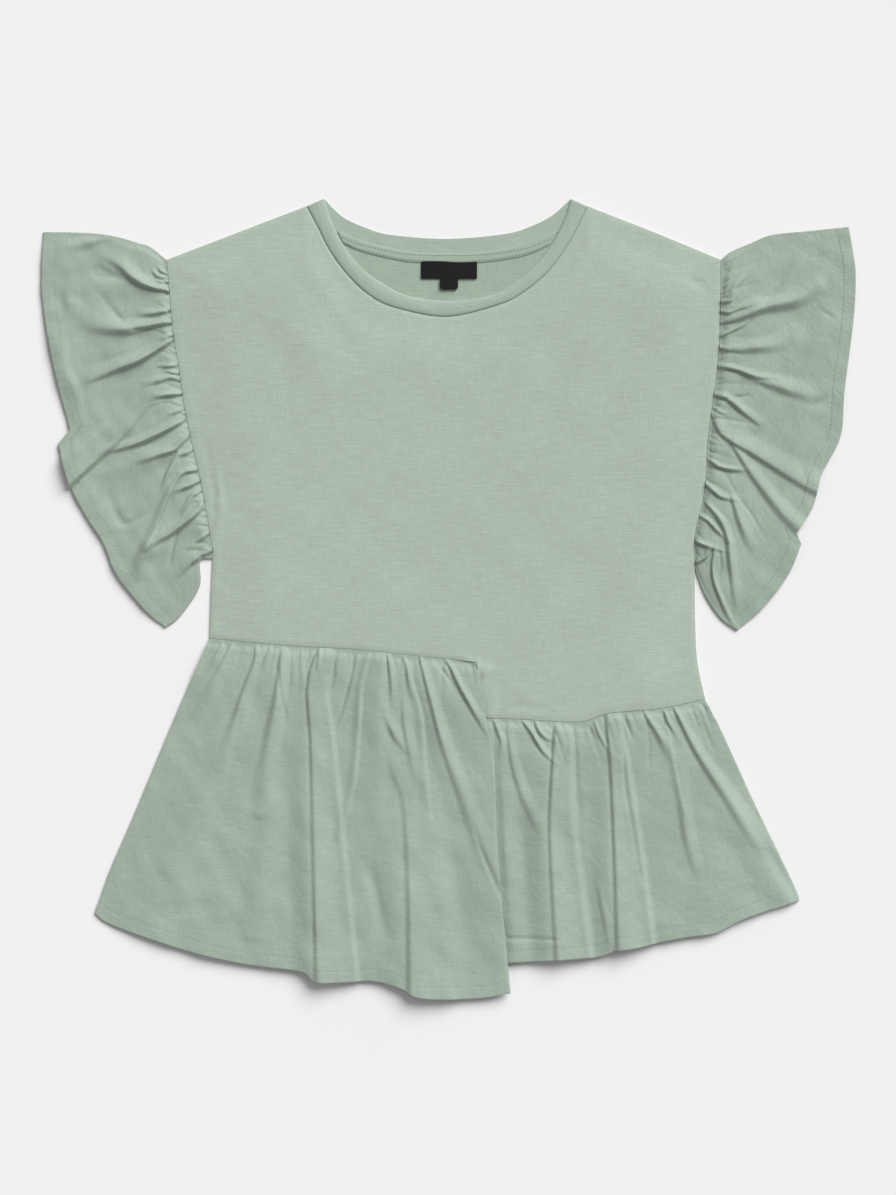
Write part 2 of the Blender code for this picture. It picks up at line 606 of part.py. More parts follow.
def build_ruffle(name, side, seam, hem, top, under, folds, poplin):
    """A sleeve: side is -1 on the left and 1 on the right."""
    gap = side * SEAM_GAP
    edges = [shifted(edge, gap, 0) for edge in (seam, hem, top, under)]
    front = ruffle_grid(GATHERED_PARTS, *edges)
    back = ruffle_grid(1, *edges)
    along = lengths_along(front, 1)
    base = puffed(np.minimum(along, along[:, -1:] - along), RUFFLE_PUFF, RUFFLE_REACH)
    heights = base + fold_height(front, folds, -side)
    add_pressed_tube(name, front, np.maximum(heights, EDGE_BOTTOM), back, POPLIN_WALL, poplin)


def build_front_peplum(poplin):
    """The two front peplums. The left one's free edge lies over the right one."""
    left = stretched(
        shifted(sewn_curve(WAIST_LEFT, WAIST_LEFT_COLUMNS, GATHERED_PARTS), 0, -SEAM_GAP),
        smooth_curve(HEM_LEFT, WAIST_LEFT_COLUMNS * GATHERED_PARTS),
        shifted(smooth_curve(PEPLUM_SIDE_LEFT, PEPLUM_ROWS), 0, -SEAM_GAP),
        shifted(smooth_curve(FREE_EDGE, PEPLUM_ROWS), -SEAM_GAP, -SEAM_GAP),
    )
    across = lengths_along(left, 1)
    down = lengths_along(left, 0)
    over_right = smooth_step((across - across[:, -1:]) / OVERLAP_FADE + 1) * smooth_step(down / SEAM_REACH)
    base = puffed(across, BODICE_PUFF + PEPLUM_PUFF * smooth_step(down / SEAM_REACH), PUFF_REACH)
    heights = base + OVERLAP_LIFT * over_right + fold_height(left, PEPLUM_LEFT_FOLDS)
    floor = puffed(across, FLOOR_PUFF, PUFF_REACH) + OVERLAP_FLOOR * over_right
    add_panel("peplum_front_left", left, np.maximum(heights, floor), POPLIN_WALL, poplin)

    hidden = smooth_curve(WAIST_UNDER, HIDDEN_COLUMNS)[:-1]
    seam = np.vstack([hidden, sewn_curve(WAIST_RIGHT, WAIST_RIGHT_COLUMNS, GATHERED_PARTS)])
    right = stretched(
        shifted(seam, 0, -SEAM_GAP),
        smooth_curve(HEM_RIGHT, len(seam) - 1),
        shifted(smooth_curve(HIDDEN_EDGE, PEPLUM_ROWS), 0, -SEAM_GAP),
        shifted(smooth_curve(PEPLUM_SIDE_RIGHT, PEPLUM_ROWS), 0, -SEAM_GAP),
    )
    across = lengths_along(right, 1)
    down = lengths_along(right, 0)
    from_side = across[:, -1:] - across
    clear = smooth_step((across - OVERLAP_WIDTH) / SEAM_REACH)
    rise = BODICE_PUFF + PEPLUM_PUFF * smooth_step(down / SEAM_REACH) * clear
    heights = puffed(from_side, rise, PUFF_REACH) + fold_height(right, PEPLUM_RIGHT_FOLDS)
    floor = puffed(from_side, FLOOR_PUFF, PUFF_REACH)
    add_panel("peplum_front_right", right, np.maximum(heights, floor), POPLIN_WALL, poplin)


def back_ridges(grid, count, seed):
    """Low, uneven ridges that fan out over a back peplum and leave its rims flat."""
    chance = random.Random(seed)
    rows, columns = grid.shape[:2]
    share = np.linspace(0, 1, columns)[None]
    down = np.linspace(0, 1, rows)[:, None]
    total = np.zeros((rows, columns))
    for index in range(count):
        crest = (index + 0.5 + chance.uniform(-0.25, 0.25)) / count
        width = chance.uniform(0.3, 0.5) / count
        height = BACK_RIDGE * chance.uniform(0.5, 1)
        near = np.clip(np.abs(share - crest) / width, 0, 1)
        total = np.maximum(total, height * (1 - near) ** 2 * (1 + 2 * near) * smooth_step(down * 3))
    rims = np.minimum(share, 1 - share) * columns
    return total * smooth_step((rims - 1.2) / BACK_RIM_COLUMNS)


def build_back_peplum(poplin):
    """The two back peplums, which meet under the free edge of the front one."""
    left = stretched(
        shifted(smooth_curve(WAIST_LEFT, WAIST_LEFT_COLUMNS), 0, -SEAM_GAP),
        smooth_curve(BACK_HEM_LEFT, WAIST_LEFT_COLUMNS),
        drawn_in(shifted(smooth_curve(PEPLUM_SIDE_LEFT, BACK_ROWS), 0, -SEAM_GAP), BACK_SIDE_INSET),
        shifted(
            joined((WAIST_STEP_COLUMNS, WAIST_STEP), (BACK_ROWS - WAIST_STEP_COLUMNS, BACK_SPLIT)),
            -SEAM_GAP,
            -SEAM_GAP,
        ),
    )
    ridges = back_ridges(left, BACK_LEFT_RIDGES, seed=5)
    add_panel("peplum_back_left", left, ridges, POPLIN_WALL, poplin)
    right = stretched(
        shifted(smooth_curve(WAIST_RIGHT, WAIST_RIGHT_COLUMNS), 0, -SEAM_GAP),
        smooth_curve(BACK_HEM_RIGHT, WAIST_RIGHT_COLUMNS),
        shifted(smooth_curve(BACK_SPLIT_RIGHT, BACK_ROWS), SEAM_GAP, -SEAM_GAP),
        drawn_in(shifted(smooth_curve(PEPLUM_SIDE_RIGHT, BACK_ROWS), 0, -SEAM_GAP), -BACK_SIDE_INSET),
    )
    ridges = back_ridges(right, BACK_RIGHT_RIDGES, seed=8)
    add_panel("peplum_back_right", right, ridges, POPLIN_WALL, poplin)


def clear_scene():
    """Removes every object."""
    for thing in list(bpy.data.objects):
        bpy.data.objects.remove(thing)


def main():
    clear_scene()
    bpy.context.scene.collection.children.link(bpy.data.collections.new(COLLECTION))
    jersey = material("sage jersey", (0.40, 0.48, 0.40), 0.85)
    poplin = material("sage poplin", (0.36, 0.44, 0.36), 0.8)
    tape = material("sage tape", (0.33, 0.41, 0.33), 0.85)
    label = material("black label", (0.015, 0.014, 0.015), 0.6)
    build_bodice(jersey)
    build_neck(jersey, tape, label)
    build_ruffle(
        "sleeve_ruffle_left", -1, ARMHOLE_LEFT, RUFFLE_HEM_LEFT, RUFFLE_TOP_LEFT,
        RUFFLE_UNDER_LEFT, RUFFLE_LEFT_FOLDS, poplin,
    )
    build_ruffle(
        "sleeve_ruffle_right", 1, ARMHOLE_RIGHT, RUFFLE_HEM_RIGHT, RUFFLE_TOP_RIGHT,
        RUFFLE_UNDER_RIGHT, RUFFLE_RIGHT_FOLDS, poplin,
    )
    build_front_peplum(poplin)
    build_back_peplum(poplin)


main()
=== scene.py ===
"""Dresses the laid-out blouse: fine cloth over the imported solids, its sewing, its finishes and a studio.

Each piece of cloth is a sheet stretched between its seam, its hem and two sides, then folded by
short tables of ridges and troughs. Lengths in the tables and size fields are millimetres, and
left means the -X side.
"""

import logging
import math
import random
from dataclasses import dataclass, field
from enum import Enum

import bmesh
import bpy
import numpy as np
from mathutils import Matrix, Vector


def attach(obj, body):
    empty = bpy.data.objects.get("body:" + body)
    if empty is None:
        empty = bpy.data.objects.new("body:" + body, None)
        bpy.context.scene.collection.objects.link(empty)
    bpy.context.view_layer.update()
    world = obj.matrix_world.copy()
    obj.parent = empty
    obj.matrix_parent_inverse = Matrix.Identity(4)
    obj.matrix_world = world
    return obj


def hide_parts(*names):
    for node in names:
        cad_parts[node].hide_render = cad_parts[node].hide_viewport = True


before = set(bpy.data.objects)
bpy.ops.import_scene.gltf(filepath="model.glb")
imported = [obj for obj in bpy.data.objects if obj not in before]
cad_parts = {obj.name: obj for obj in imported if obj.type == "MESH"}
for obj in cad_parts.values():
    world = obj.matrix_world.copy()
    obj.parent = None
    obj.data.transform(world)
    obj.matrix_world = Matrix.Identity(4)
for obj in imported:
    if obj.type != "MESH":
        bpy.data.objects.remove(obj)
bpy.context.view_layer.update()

LOG = logging.getLogger("blouse")
MM = 0.001
ROOT = "root"
Points = tuple | np.ndarray

SEAM_GAP = 0.3
JERSEY_WALL = 1.2
POPLIN_WALL = 1.0
LAYER_GAP = 0.3
EDGE_BOTTOM = JERSEY_WALL + LAYER_GAP
SHARP_ANGLE = math.radians(65)
CURVE_STEPS = 24
HEM_DEPTH = 11.0
FINE_HEM = 14.0
HEM_ROWS = (13.2, 12.4, 11.9, 11.5, 11.1, 10.6, 10.0, 8.5, 6.5, 4.5, 2.8, 1.6, 0.9, 0.4, 0)

# Edge curves of the pieces, each point (x, y)
SHOULDER_LEFT = ((-253.3, 304.2), (-191.2, 328.1), (-127.8, 352.4))
SHOULDER_RIGHT = ((125.1, 352.4), (185, 328.9), (244.9, 304.2))
FRONT_NECK_SEAM = (
    (-127.8, 352.4), (-118.4, 334.8), (-106.7, 311.9), (-89.5, 288.9), (-70.7, 271.8), (-48.1, 261),
    (-2.2, 252.9), (42.8, 262.8), (65.7, 273.6), (88.7, 292.5), (107.5, 317.7), (118.4, 338.4),
    (125.1, 352.4),
)
FRONT_NECK_EDGE = (
    (-112, 359.1), (-104.9, 338.4), (-93.2, 315.9), (-76, 294.8), (-57.1, 281.7), (-36.5, 271.8),
    (1.4, 267.3), (39.1, 272.7), (58.1, 282.6), (75.2, 297), (92.2, 317.7), (104, 340.2), (110.2, 359.1),
)
BACK_NECK_SEAM = (
    (-127.8, 352.4), (-113.9, 338.4), (-99.5, 327.6), (-67, 314.1), (-29.2, 306.9), (1.4, 306),
    (27.4, 306.9), (65.7, 314.1), (96.8, 327.6), (111.2, 338.4), (125.1, 352.4),
)
BACK_NECK_EDGE = (
    (-112, 359.1), (-95.3, 342.9), (-74.2, 333), (-51.8, 326.7), (-0.5, 323.1), (50.9, 327.6),
    (75.2, 334.8), (94, 344.7), (110.2, 359.1),
)
TAPE_TOP = (
    (-99.5, 330.3), (-67, 318.2), (-29.2, 310.9), (-0.5, 310.1), (27.4, 310.9), (65.7, 318.2),
    (97.2, 330.3),
)
TAPE_BOTTOM = (
    (-94, 318.6), (-77.9, 311.8), (-44.6, 303.9), (-24.8, 301.8), (-0.5, 301.2), (25.7, 301.8),
    (51.8, 304.7), (73.4, 309.6), (91.4, 317.7),
)
ARMHOLE_LEFT = (
    (-253.3, 304.2), (-250.7, 273.6), (-248, 242.1), (-241.7, 202.5), (-236.2, 164.7), (-222.8, 104.4),
    (-212.8, 47.7), (-212, 35.1),
)
SIDE_LEFT = ((-212, 35.1), (-213.8, -5.4), (-214.7, -36))
ARMHOLE_RIGHT = (
    (244.9, 304.2), (244.3, 253.8), (242.1, 209.7), (233.1, 142.2), (231.8, 110.7), (228.2, 85.5),
    (221.7, 56.7), (221.5, 28.8),
)
SIDE_RIGHT = ((221.5, 28.8), (221.8, -16.2), (223.7, -55.8), (230.8, -90.9))
WAIST_LEFT = ((-214.7, -36), (-149.8, -42.3), (-86.9, -45.9), (-32.9, -51.3), (25.7, -57.6))
WAIST_STEP = ((25.7, -57.6), (27.4, -74.7), (32.9, -107.5))
WAIST_RIGHT = (
    (32.9, -107.5), (67, -108.9), (116.5, -111.2), (144.5, -103.5), (191.2, -99), (230.8, -90.9),
)
PEPLUM_SIDE_LEFT = (
    (-214.7, -36), (-229.1, -68.4), (-256.9, -132.8), (-284.9, -199.8), (-304.1, -243.9),
    (-318.2, -283.5),
)
HEM_LEFT = (
    (-318.2, -283.5), (-306.9, -292.1), (-274.1, -304.2), (-235.3, -316.8), (-207.5, -324),
    (-173.2, -330.3), (-131.8, -335.7), (-120.2, -344.3), (-100.4, -345.1), (-67.5, -344.3),
    (-44.1, -350.1), (-23.4, -359.1), (24.8, -359.6), (55.8, -354.6),
)
FREE_EDGE = ((41, -141.3), (42.8, -198.9), (46.8, -257.4), (55.8, -354.6))
HIDDEN_EDGE = ((22.9, -108), (28.4, -145.8), (31.9, -198.9), (35.6, -257.4), (44.6, -328.5))
WAIST_UNDER = ((22.9, -108), (32.9, -107.5))
PEPLUM_SIDE_RIGHT = (
    (230.8, -90.9), (239, -107.1), (244.3, -117), (274.1, -181.8), (294.3, -224.1), (312.8, -262.8),
    (315.4, -271.8),
)
HEM_RIGHT = (
    (44.6, -328.5), (99.5, -324.9), (134.6, -322.2), (149, -316.8), (168.8, -314.1), (188.6, -309.6),
    (212, -305.1), (240.8, -300.6), (266.9, -288), (315.4, -271.8),
)
RUFFLE_TOP_LEFT = (
    (-253.3, 304.2), (-267.3, 315.4), (-277.7, 319.1), (-301.9, 325.8), (-326.2, 328.5), (-364.1, 329.4),
)
RUFFLE_HEM_LEFT = (
    (-364.1, 329.4), (-365.9, 289.8), (-364.4, 262.8), (-355.4, 209.7), (-340.3, 151.2), (-351, 138.1),
    (-340.7, 102.6), (-326.2, 73.8), (-310.9, 50.4), (-298.4, 20.7), (-272.2, -11.7), (-254.2, -27),
)
RUFFLE_UNDER_LEFT = ((-212, 35.1), (-222.8, 32.4), (-223.7, 9.9), (-240.8, -16.2), (-254.2, -27))
RUFFLE_TOP_RIGHT = (
    (244.9, 304.2), (253.8, 311.4), (271.4, 319), (291.2, 326.7), (325.4, 330.3), (359.6, 333.9),
)
RUFFLE_HEM_RIGHT = (
    (359.6, 333.9), (363.2, 313.2), (365.9, 289.8), (364.1, 251.1), (355.9, 186.3), (352.4, 145.8),
    (335.2, 110.7), (327.7, 82.8), (312.8, 58.5), (317, 48.6), (305.6, 21.6), (283.1, -8.1),
    (258.8, -29.7),
)
RUFFLE_UNDER_RIGHT = ((221.5, 28.8), (222.8, 21.6), (230.8, 0.9), (244.3, -18.9), (258.8, -29.7))
BACK_SPLIT = ((32.9, -107.5), (34.6, -181.8), (36.5, -253.8), (38.2, -354.6))
BACK_SPLIT_RIGHT = BACK_SPLIT[:-1] + ((38.2, -324),)
BACK_HEM_LEFT = (
    (-316.4, -279.9), (-274.1, -299.7), (-207.5, -319.5), (-131.8, -331.2), (-68, -340.2),
    (-23.9, -352.8), (38.2, -354.6),
)
BACK_HEM_RIGHT = (
    (38.2, -324), (99.5, -320.4), (149, -312.3), (188.6, -305.1), (240.8, -296.1), (266.9, -283.5),
    (313.7, -268.2),
)

# Creases, each a way of points (x, y) with the cloth raised on its left. The heights at its start,
# middle and end follow, and then pairs of widths at its start and end: the steep flank, the gentle
# flank (left out where it is the same) and the flat top (left out where there is none)
PEPLUM_LEFT_FOLDS = (
    (((-204.5, -39), (-211, -49.5), (-222.5, -64)), (1.4, 2.2, 0.6), (2, 7), (4, 10)),
    (((-196, -40.5), (-205, -55), (-221, -79.5), (-236, -96.5)), (1.8, 3, 1.2), (1.5, 10), (5, 14)),
    (((-174.5, -42.5), (-175.5, -54), (-185, -78), (-205, -127.5), (-215.5, -143.5)),
     (1.8, 4.6, 0.6), (1.2, 9), (5, 16)),
    (((-177.5, -66.5), (-186.5, -102.5), (-191.5, -132), (-199.5, -174.5)), (-0.5, -1, -0.2), (1.5, 3)),
    (((-161, -42.5), (-164, -50.5), (-170.5, -63)), (2.2, 2.2, 0), (1.2, 2), (3, 5)),
    (((-151.5, -45), (-158, -84), (-164, -108), (-168.5, -124), (-182, -189.5)),
     (2.6, 4.3, 1.8), (1.5, 14), (6, 18)),
    (((-152.5, -66.5), (-150.5, -88.5), (-147, -103.5), (-146.5, -116)), (-1, -1.7, 0), (1.2, 1.8)),
    (((-141.5, -47), (-142.5, -74.5), (-146.5, -100)), (-1.1, -1, 0), (1.2, 1.5)),
    (((-133.5, -46), (-135, -63), (-135, -80.5)), (1.4, 1.4, 0), (2, 4), (4, 5)),
    (((-118, -46), (-128, -77), (-125, -132), (-123, -247), (-120.5, -367.5)),
     (2.6, 2.3, 3.1), (1.2, 4.6), (3, 4), (13, 35)),
    (((-142.5, -92), (-145.5, -173), (-144.5, -254), (-141, -371)), (1, 4.4, 5.4), (16, 24), (18, 34)),
    (((-117.5, -49.5), (-118, -56.5), (-120.5, -66)), (1.8, 2.2, 0), (1.1, 1.5), (3, 4)),
    (((-102.5, -46), (-105, -77), (-112.5, -93)), (-1.4, -1.8, 0), (1.2, 1.6), (1.2, 3)),
    (((-91, -46), (-90.5, -62)), (-1.1, -0.7, 0), (1.2, 1.2)),
    (((-85.5, -47), (-86, -62), (-90.5, -80.5), (-95, -96.5), (-102, -114.5)),
     (-1.4, -2.4, -1.2), (1.2, 1.8)),
    (((-75, -48.5), (-81, -56.5)), (-1.2, -0.7, 0), (1.2, 1.2)),
    (((-95, -212.5), (-83, -166.5), (-78, -109), (-76.5, -81.5), (-69.5, -49)),
     (1.4, 2.2, 2.2), (1.8, 1.2), (9, 7)),
    (((-69.5, -49), (-76.5, -81.5), (-78, -109), (-83, -166.5), (-87.5, -189.5)),
     (1.4, 2.2, 1), (12, 20), (8, 14)),
    (((-56, -53), (-54.5, -63), (-53.5, -80.5), (-53.5, -100)), (2.9, 1.9, 0), (1.3, 3), (4, 6)),
    (((-61.5, -102.5), (-57.5, -113.5), (-50.5, -127.5), (-42, -137.5)), (0.6, 2.6, 0.5), (5, 3), (8, 8)),
    (((-43, -95.5), (-42.5, -111.5), (-39, -135.5), (-35.5, -158.5)), (0.7, 1.9, 0.5), (2, 5), (8, 10)),
    (((-61, -132.5), (-52, -161), (-43.5, -187), (-39.5, -272), (-39, -380)),
     (0.5, 3, 4), (5, 6), (16, 30), (14, 30)),
    (((-78, -173), (-69, -263), (-63.5, -380)), (0.4, 3, 4), (22, 28), (16, 50)),
    (((-49.5, -53), (-47, -66.5)), (-1.1, -0.7, 0), (1.2, 1.2)),
    (((-42.5, -52), (-39, -62), (-38, -74.5), (-35.5, -93)), (1.9, 1.7, 0), (1.2, 3), (3, 5)),
    (((-35.5, -54.5), (-30.5, -62)), (-2.2, -1.4, 0), (1.3, 1.3)),
    (((-13.5, -198.5), (-19, -149.5), (-20.5, -126.5), (-23, -103.5), (-34, -65.5)),
     (0.6, 1.4, 1.2), (3, 1.6), (10, 6)),
    (((-27.5, -53), (-18.5, -92), (-8, -135.5), (6, -181.5), (29, -247)),
     (2.6, 3.6, 0.4), (1.4, 10), (6, 16)),
    (((-33, -69), (-23, -115), (-16, -155), (-8, -189.5)), (1, 2.2, 0.7), (9, 14), (5, 8)),
    (((-22.5, -54.5), (-22.5, -69)), (-1.2, -1, 0), (1.2, 1.2)),
    (((-11.5, -54), (-7, -63), (1.5, -74.5), (9.5, -89.5)), (-1.4, -1.2, 0), (1.2, 1.5)),
    (((-5.5, -55), (0, -62), (8, -79.5), (25.5, -111.5), (31.5, -122)), (2.4, 3.8, 0.5), (1.2, 2.4), (5, 8)),
    (((24, -209.5), (30.5, -229.5), (40.5, -253.5), (49.5, -274)), (-0.6, -1.8, -1.2), (1.4, 1.6), (2, 3)),
    (((-70.5, -244.5), (-63, -274), (-58, -296.5), (-52, -306.5)), (-0.6, -2.2, -0.7), (5, 6)),
    (((-209, -126), (-236, -182), (-268.5, -234)), (0.4, 2.6, 0.8), (14, 18), (14, 20)),
    (((-168, -155), (-182, -227), (-195, -299)), (0.4, 2.2, 1.6), (14, 20), (18, 24)),
    (((-259.5, -282.5), (-232.5, -279), (-200, -274.5)), (-0.3, -1, -0.3), (8, 8)),
)
PEPLUM_RIGHT_FOLDS = (
    (((39.5, -110), (42.5, -120), (45.5, -129.5), (44.5, -144)), (1.7, 1.9, 0), (1.2, 2), (5, 6)),
    (((50.5, -111), (54.5, -148.5), (61, -175.5), (66.5, -189.5), (77.5, -216)),
     (1.2, 1.9, 0.7), (1.5, 7), (6, 12)),
    (((58, -111.5), (64.5, -118)), (-1.2, -0.8, 0), (1.2, 1.2)),
    (((65, -111), (72, -120), (77.5, -129.5), (84, -139.5), (92, -147.5)),
     (2.4, 3.4, 0.7), (1.2, 1.8), (5, 5)),
    (((75.5, -110), (80.5, -121), (86.5, -127.5), (92.5, -129.5)), (2.4, 2.9, 0.5), (1.3, 1.6), (4, 5)),
    (((83, -109.5), (89.5, -114.5), (94.5, -120.5)), (-1.7, -1.9, -0.2), (1.3, 1.3)),
    (((94, -120), (92, -148.5), (89, -203), (90.5, -254), (95, -344.5)),
     (2.9, 2.4, 2.9), (1.3, 4.8), (5, 8), (14, 28)),
    (((70, -141.5), (66, -227), (71.5, -348.5)), (0.8, 4.4, 5.2), (18, 26), (14, 30)),
    (((108.5, -123), (105.5, -138.5), (99.5, -153.5), (97, -170)), (-0.6, -1.2, 0), (1.2, 1.6)),
    (((112, -112.5), (113, -137.5), (113.5, -170), (115.5, -192), (114, -219)),
     (-1.9, -1.7, -0.4), (1.3, 6)),
    (((100.5, -111.5), (105, -119.5)), (-1.2, -0.8, 0), (1.2, 1.2)),
    (((121, -112), (126.5, -117.5), (133.5, -130.5)), (-1.2, -1, 0), (1.2, 1.5)),
    (((129.5, -110.5), (135.5, -126.5), (142, -138)), (1.7, 2.2, 0.5), (1.2, 1.3), (3, 4)),
    (((140, -106.5), (144, -152.5), (146, -203), (147.5, -254), (149, -339)),
     (2.6, 2.9, 3.4), (1.2, 4.8), (4, 6), (10, 32)),
    (((126.5, -155), (125.5, -236), (129, -339.5)), (0.8, 4.2, 5), (16, 24), (12, 34)),
    (((158, -104), (157.5, -153.5), (159.5, -175.5), (163.5, -197.5), (171.5, -246.5)),
     (-1.1, -1.1, -0.5), (1.2, 2)),
    (((158.5, -108.5), (161, -115.5), (166, -129)), (-2, -1.8, 0), (1.2, 1.3)),
    (((174.5, -102), (178, -111.5), (184.5, -124), (194.5, -151.5)), (2.6, 3.1, 0), (1.3, 9), (4, 9)),
    (((179, -116), (180, -138), (180.5, -168.5)), (-0.6, -0.7, 0), (1.3, 1.6)),
    (((192, -99.5), (195.5, -111.5), (202, -123)), (2.6, 3.1, 0.5), (1.2, 1.8), (3, 4)),
    (((222.5, -211), (215, -190.5), (209.5, -174), (202, -135), (198.5, -117.5)),
     (0, 1.1, 1), (2.5, 1.4), (8, 5)),
    (((199.5, -157), (204, -186), (208, -213.5), (213.5, -234.5), (218.5, -248)),
     (0.5, 2.9, 0.6), (7, 5), (10, 10)),
    (((201, -99), (220.5, -142), (248, -187.5), (263, -212.5), (297.5, -255)),
     (2.9, 4, 1.4), (1.4, 14), (6, 16)),
    (((206.5, -146), (231, -191), (256, -236), (291, -303.5)), (0.6, 3, 4), (16, 28), (8, 12)),
    (((226, -94), (232, -102.5)), (-1.4, -1, 0), (1.2, 1.2)),
    (((224.5, -100.5), (234.5, -128.5), (244.5, -147.5)), (-0.7, -1, 0), (1.6, 3)),
    (((40.5, -123.5), (43, -173), (45, -227), (50.5, -326)), (0.6, 2.2, 1.8), (5, 9), (12, 20)),
    (((54.5, -306), (73.5, -306), (93, -306.5)), (-1.4, -1.3, -1.4), (1.2, 1.2)),
    (((132.5, -261), (137.5, -290), (140, -305.5)), (0.5, 1.2, 0.7), (2, 3), (6, 7)),
)
RUFFLE_LEFT_FOLDS = (
    (((-310, 302), (-296.5, 293.5), (-285.5, 284), (-269, 277), (-249.5, 273.5)),
     (0.9, 6.8, 3.8), (6, 1.2), (14, 6)),
    (((-266, 284), (-259.5, 282.5), (-250.5, 282.5)), (0, 2.7, 2.7), (1.4, 1.1), (3, 3)),
    (((-263.5, 298), (-259.5, 293), (-252, 289.5)), (0, 2.5, 2.7), (1.4, 1.1), (3, 3)),
    (((-257, 302), (-255.5, 298), (-252, 294)), (0, 1.7, 2.3), (1.2, 1.1), (3, 2)),
    (((-270, 297), (-267, 292), (-260.5, 286.5), (-251.5, 286.5)), (0, 2.3, 2.3), (2.5, 1.2), (5, 3)),
    (((-280.5, 250.5), (-262, 253.5), (-249.5, 257)), (0, 3.8, 4.2), (4, 1.2), (7, 4)),
    (((-325, 235.5), (-302.5, 234.5), (-285.5, 235.5), (-265.5, 242), (-247.5, 246)),
     (0.8, 7.2, 4.2), (10, 1.2), (16, 6)),
    (((-294, 239), (-284, 240.5), (-271.5, 241)), (0, -2.7, -1.9), (1.5, 1.2)),
    (((-315, 274.5), (-302.5, 259), (-292.5, 248), (-283, 243.5)), (-0.4, -1.5, -0.9), (4, 2.5)),
    (((-260, 229), (-253, 232.5), (-246.5, 235)), (0, 3, 3.8), (1.6, 1.2), (4, 3)),
    (((-318.5, 193), (-296.5, 202.5), (-278, 210), (-253, 226), (-246, 231)),
     (1.9, 8.7, 4.2), (4, 1.2), (14, 7)),
    (((-349.5, 89), (-303.5, 130.5), (-294, 138), (-280.5, 153), (-254, 185.5)),
     (7, 5, 1), (2.4, 7), (7, 10), (24, 4)),
    (((-295.5, 90), (-252.5, 117), (-227, 136)), (0.6, 4.4, 0.8), (22, 14), (14, 10)),
    (((-263.5, 206.5), (-249.5, 206.5), (-242, 209)), (0, 2.5, 3), (2, 1.2), (4, 3)),
    (((-256.5, 202.5), (-247, 200.5), (-241.5, 200.5)), (0, 2.5, 3), (2, 1.2), (4, 3)),
    (((-275.5, 186), (-259.5, 192), (-249.5, 195.5), (-240, 193)), (0, 3.4, 1.9), (5, 1.6), (7, 4)),
    (((-266, 177.5), (-249.5, 180.5), (-239, 182)), (0, 4.2, 4.2), (3, 1.2), (5, 4)),
    (((-252.5, 162), (-243.5, 165.5), (-237, 169.5)), (0, 2.5, 3.4), (2, 1.2), (4, 3)),
    (((-322.5, 162), (-327.5, 188), (-336, 206.5), (-339.5, 227.5), (-334, 246)),
     (0.6, 3.2, 0.8), (7, 12), (16, 20)),
    (((-343.5, 308.5), (-323.5, 312.5), (-307.5, 319.5), (-295, 320.5)), (0.9, 3, 1.1), (8, 5), (10, 8)),
    (((-323.5, 299), (-312.5, 292), (-299, 289)), (-0.4, -2.5, -1.9), (6, 4)),
    (((-346, 285.5), (-350, 265.5), (-344.5, 246)), (0.6, 2.7, 0.6), (8, 10), (12, 14)),
    (((-302, 129.5), (-283, 135), (-269, 140.5), (-237.5, 157.5), (-234, 163.5)),
     (1.8, 6.8, 4.3), (3, 1.1), (8, 6)),
    (((-280, 117.5), (-259.5, 125.5), (-245.5, 130.5), (-239, 137), (-232.5, 144)),
     (0, 4.7, 4.7), (4, 1.1), (7, 5)),
    (((-241, 124.5), (-236, 128), (-230, 131.5)), (0, 3.6, 4), (1.5, 1.1), (4, 3)),
    (((-245.5, 129.5), (-252.5, 117.5), (-257, 108.5), (-260, 99)), (2.5, 4, 0.7), (1.5, 4), (8, 8)),
    (((-267, 45), (-256.5, 73.5), (-244.5, 101), (-237.5, 110.5), (-224.5, 113.5)),
     (1.4, 4.7, 2.9), (3, 1.2), (9, 5)),
    (((-246.5, 93), (-232, 99), (-223, 104)), (0.5, 4, 4.7), (2, 1.1), (5, 4)),
    (((-237.5, 71.5), (-231, 84), (-228, 90), (-220.5, 96)), (0, 3.1, 3.2), (3.5, 1.2), (6, 4)),
    (((-266.5, 44), (-256.5, 50.5), (-244.5, 58), (-223.5, 76), (-219.5, 83.5)),
     (1.4, 6.5, 4.7), (3, 1.1), (10, 7)),
    (((-274, 15), (-270, 36), (-262.5, 54)), (0.4, 3.2, 0.7), (6, 3), (12, 10)),
    (((-225.5, 49), (-218, 54.5), (-212, 58)), (1.1, 3.2, 3.2), (1.3, 1.1), (3, 3)),
    (((-224, 49.5), (-218, 50), (-212, 53.5)), (-1.1, -3.6, -3.6), (1.3, 1.3)),
    (((-251, 32), (-248.5, 43), (-244.5, 57)), (-0.7, -2.2, -1.1), (2, 1.4)),
    (((-232, 42.5), (-223.5, 42.5), (-219.5, 42)), (-1.1, -2.2, -1.8), (1.4, 1.4)),
    (((-237.5, 21.5), (-230.5, 29), (-221, 36), (-212, 40.5)), (1.4, 5.4, 5), (1.6, 1), (9, 8)),
    (((-304, 90), (-297.5, 73.5), (-290.5, 66.5), (-274.5, 73.5)), (-0.4, -1.8, -0.5), (4, 3)),
    (((-262.5, 70.5), (-280, 47.5), (-291, 29.5)), (0.7, 4.3, 0.7), (9, 10), (12, 14)),
)
